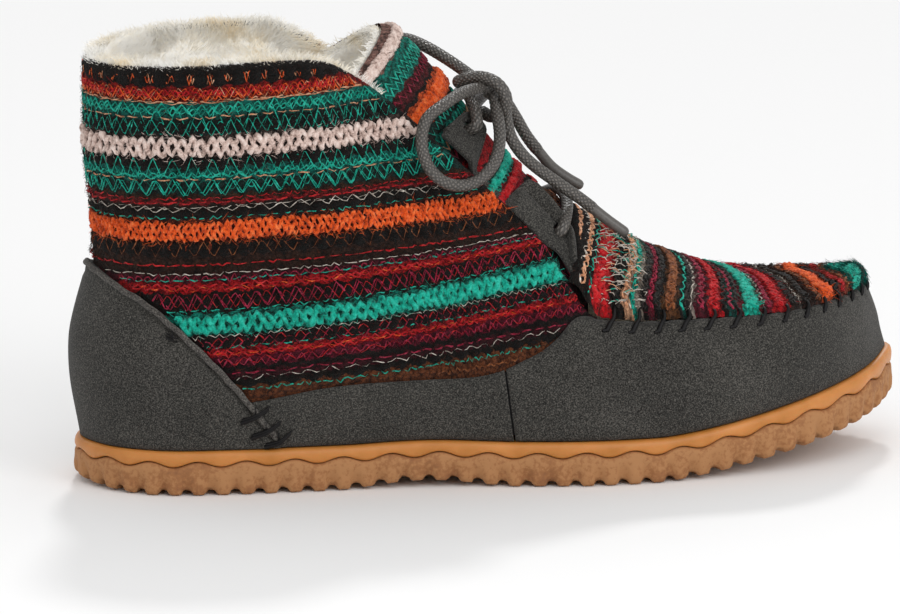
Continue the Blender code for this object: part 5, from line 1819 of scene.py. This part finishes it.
class BootSettings(bpy.types.PropertyGroup):
    """Sizes, colours and light of the boot's looks."""

    stitch_spacing: bpy.props.FloatProperty(
        name="Stitch spacing", description="Distance between the stitches of the toe seam",
        default=8.3 * MM, unit="LENGTH")
    pile_length: bpy.props.FloatProperty(
        name="Pile length", description="Length of the lining's longest hairs",
        default=7.6 * MM, unit="LENGTH")
    suede: color_setting("Suede", "#343330")
    edge: color_setting("Turned edge highlight", "#45423F")
    pile: color_setting("Pile", "#FCF5E6")
    laces: color_setting("Laces", "#433F3B")
    thread: color_setting("Thread", "#121011")
    tread: color_setting("Tread", "#9A6942")
    band: color_setting("Band", "#C98443")
    ambient: bpy.props.FloatProperty(
        name="Ambient", description="Strength of the light from all round", default=0.74)
    key_power: bpy.props.FloatProperty(
        name="Key strength", description="Strength of the sun from behind", default=0.85)
    fill_power: bpy.props.FloatProperty(
        name="Fill power", description="Power of the lamp at the toe's side", default=7.0,
        unit="POWER")
    focal_length: bpy.props.FloatProperty(
        name="Focal length", description="Camera lens in millimetres", default=504.0)


def all_yarns():
    """The wool yarns, made once and shared."""
    made = []
    for name, (code, dark, light) in YARNS.items():
        found = bpy.data.materials.get(f"brushed wool yarn, {name}")
        made.append(found or wool_yarn(f"brushed wool yarn, {name}", code, dark, light))
    return made


def shared(name, maker, *values):
    """A finish that several pieces share."""
    return bpy.data.materials.get(name) or maker(name, *values)


def suede_finish(settings):
    """The main suede."""
    return shared("sanded split suede", napped_suede, settings.suede)


def pile_finish(settings):
    """The pile inside."""
    return shared("sheepskin pile", cream_pile, settings.pile)


def thread_finish(settings):
    """The thread of the stitches and eyelets."""
    return shared("black waxed thread", waxed_cord, settings.thread, "#050405", 0.5, 0.22)


class BOOT_OT_stage(bpy.types.Operator):
    """Add the floor, the lights and the camera."""

    bl_idname = "boot.stage"
    bl_label = "Studio"

    def execute(self, context):
        make_stage(context.scene.boot_settings)
        return {"FINISHED"}


class BOOT_OT_laces(bpy.types.Operator):
    """Add the tied laces."""

    bl_idname = "boot.laces"
    bl_label = "Laces"

    def execute(self, context):
        settings = context.scene.boot_settings
        cord = shared("waxed cotton braid", waxed_cord, settings.laces)
        make_laces(cord, shared("waxed cord tip", waxed_cord, linear("#5E5A56"), "#45413E"))
        make_lace_bars(cord)
        return {"FINISHED"}


class BOOT_OT_sole(bpy.types.Operator):
    """Add the tread, the band and the insole."""

    bl_idname = "boot.sole"
    bl_label = "Sole"

    def execute(self, context):
        settings = context.scene.boot_settings
        make_tread(shared("cast gum rubber", gum_rubber, settings.tread))
        make_band(shared("smooth amber rubber", amber_rubber, settings.band))
        make_insole(pile_finish(settings))
        return {"FINISHED"}


class BOOT_OT_lining(bpy.types.Operator):
    """Add the pile lining."""

    bl_idname = "boot.lining"
    bl_label = "Lining"

    def execute(self, context):
        settings = context.scene.boot_settings
        make_lining(pile_finish(settings), settings.pile_length)
        return {"FINISHED"}


class BOOT_OT_knit(bpy.types.Operator):
    """Add the striped knit shaft."""

    bl_idname = "boot.knit"
    bl_label = "Knit shaft"

    def execute(self, context):
        make_knit(all_yarns())
        return {"FINISHED"}


class BOOT_OT_suede(bpy.types.Operator):
    """Add the suede pieces."""

    bl_idname = "boot.suede"
    bl_label = "Suede"

    def execute(self, context):
        settings = context.scene.boot_settings
        suede, thread = suede_finish(settings), thread_finish(settings)
        # The turned edge is a lighter copy of the suede: painted highlight on the raised fold.
        lip = shared("turned suede edge", napped_suede, settings.edge, "#262422", "#75716B")
        make_vamp(suede, settings.stitch_spacing / MM)
        make_foxing(suede, thread)
        make_counter(suede, lip, thread)
        return {"FINISHED"}


class BOOT_OT_plug(bpy.types.Operator):
    """Add the striped plug with its stitches and fringe."""

    bl_idname = "boot.plug"
    bl_label = "Plug"

    def execute(self, context):
        settings = context.scene.boot_settings
        make_plug(all_yarns(), thread_finish(settings), settings.stitch_spacing / MM)
        return {"FINISHED"}


class BOOT_OT_tongue(bpy.types.Operator):
    """Add the striped tongue."""

    bl_idname = "boot.tongue"
    bl_label = "Tongue"

    def execute(self, context):
        make_tongue(all_yarns(), pile_finish(context.scene.boot_settings))
        return {"FINISHED"}


class BOOT_OT_eyestays(bpy.types.Operator):
    """Add the leaf tabs and eyelets."""

    bl_idname = "boot.eyestays"
    bl_label = "Eyestays"

    def execute(self, context):
        settings = context.scene.boot_settings
        make_eyestays(suede_finish(settings), thread_finish(settings))
        return {"FINISHED"}


class BOOT_PT_panel(bpy.types.Panel):
    """The boot's pieces in the sidebar."""

    bl_idname = "BOOT_PT_panel"
    bl_label = "Moccasin boot"
    bl_space_type = "VIEW_3D"
    bl_region_type = "UI"
    bl_category = "Boot"

    def draw(self, context):
        for name in BootSettings.__annotations__:
            self.layout.prop(context.scene.boot_settings, name)
        for operator in OPERATORS:
            self.layout.operator(operator.bl_idname)


OPERATORS = [
    BOOT_OT_stage, BOOT_OT_laces, BOOT_OT_sole, BOOT_OT_lining, BOOT_OT_knit, BOOT_OT_suede,
    BOOT_OT_plug, BOOT_OT_tongue, BOOT_OT_eyestays,
]
CLASSES = [BootSettings, *OPERATORS, BOOT_PT_panel]


def register():
    """Register the classes and the settings."""
    for item in CLASSES:
        bpy.utils.register_class(item)
    bpy.types.Scene.boot_settings = bpy.props.PointerProperty(type=BootSettings)


def unregister():
    """Take the classes and the settings away."""
    del bpy.types.Scene.boot_settings
    for item in reversed(CLASSES):
        bpy.utils.unregister_class(item)


def main():
    """Build the boot's looks round its solids."""
    register()
    for operator in OPERATORS:
        getattr(bpy.ops.boot, operator.bl_idname.split(".")[1])()


if __name__ == "__main__":
    main()
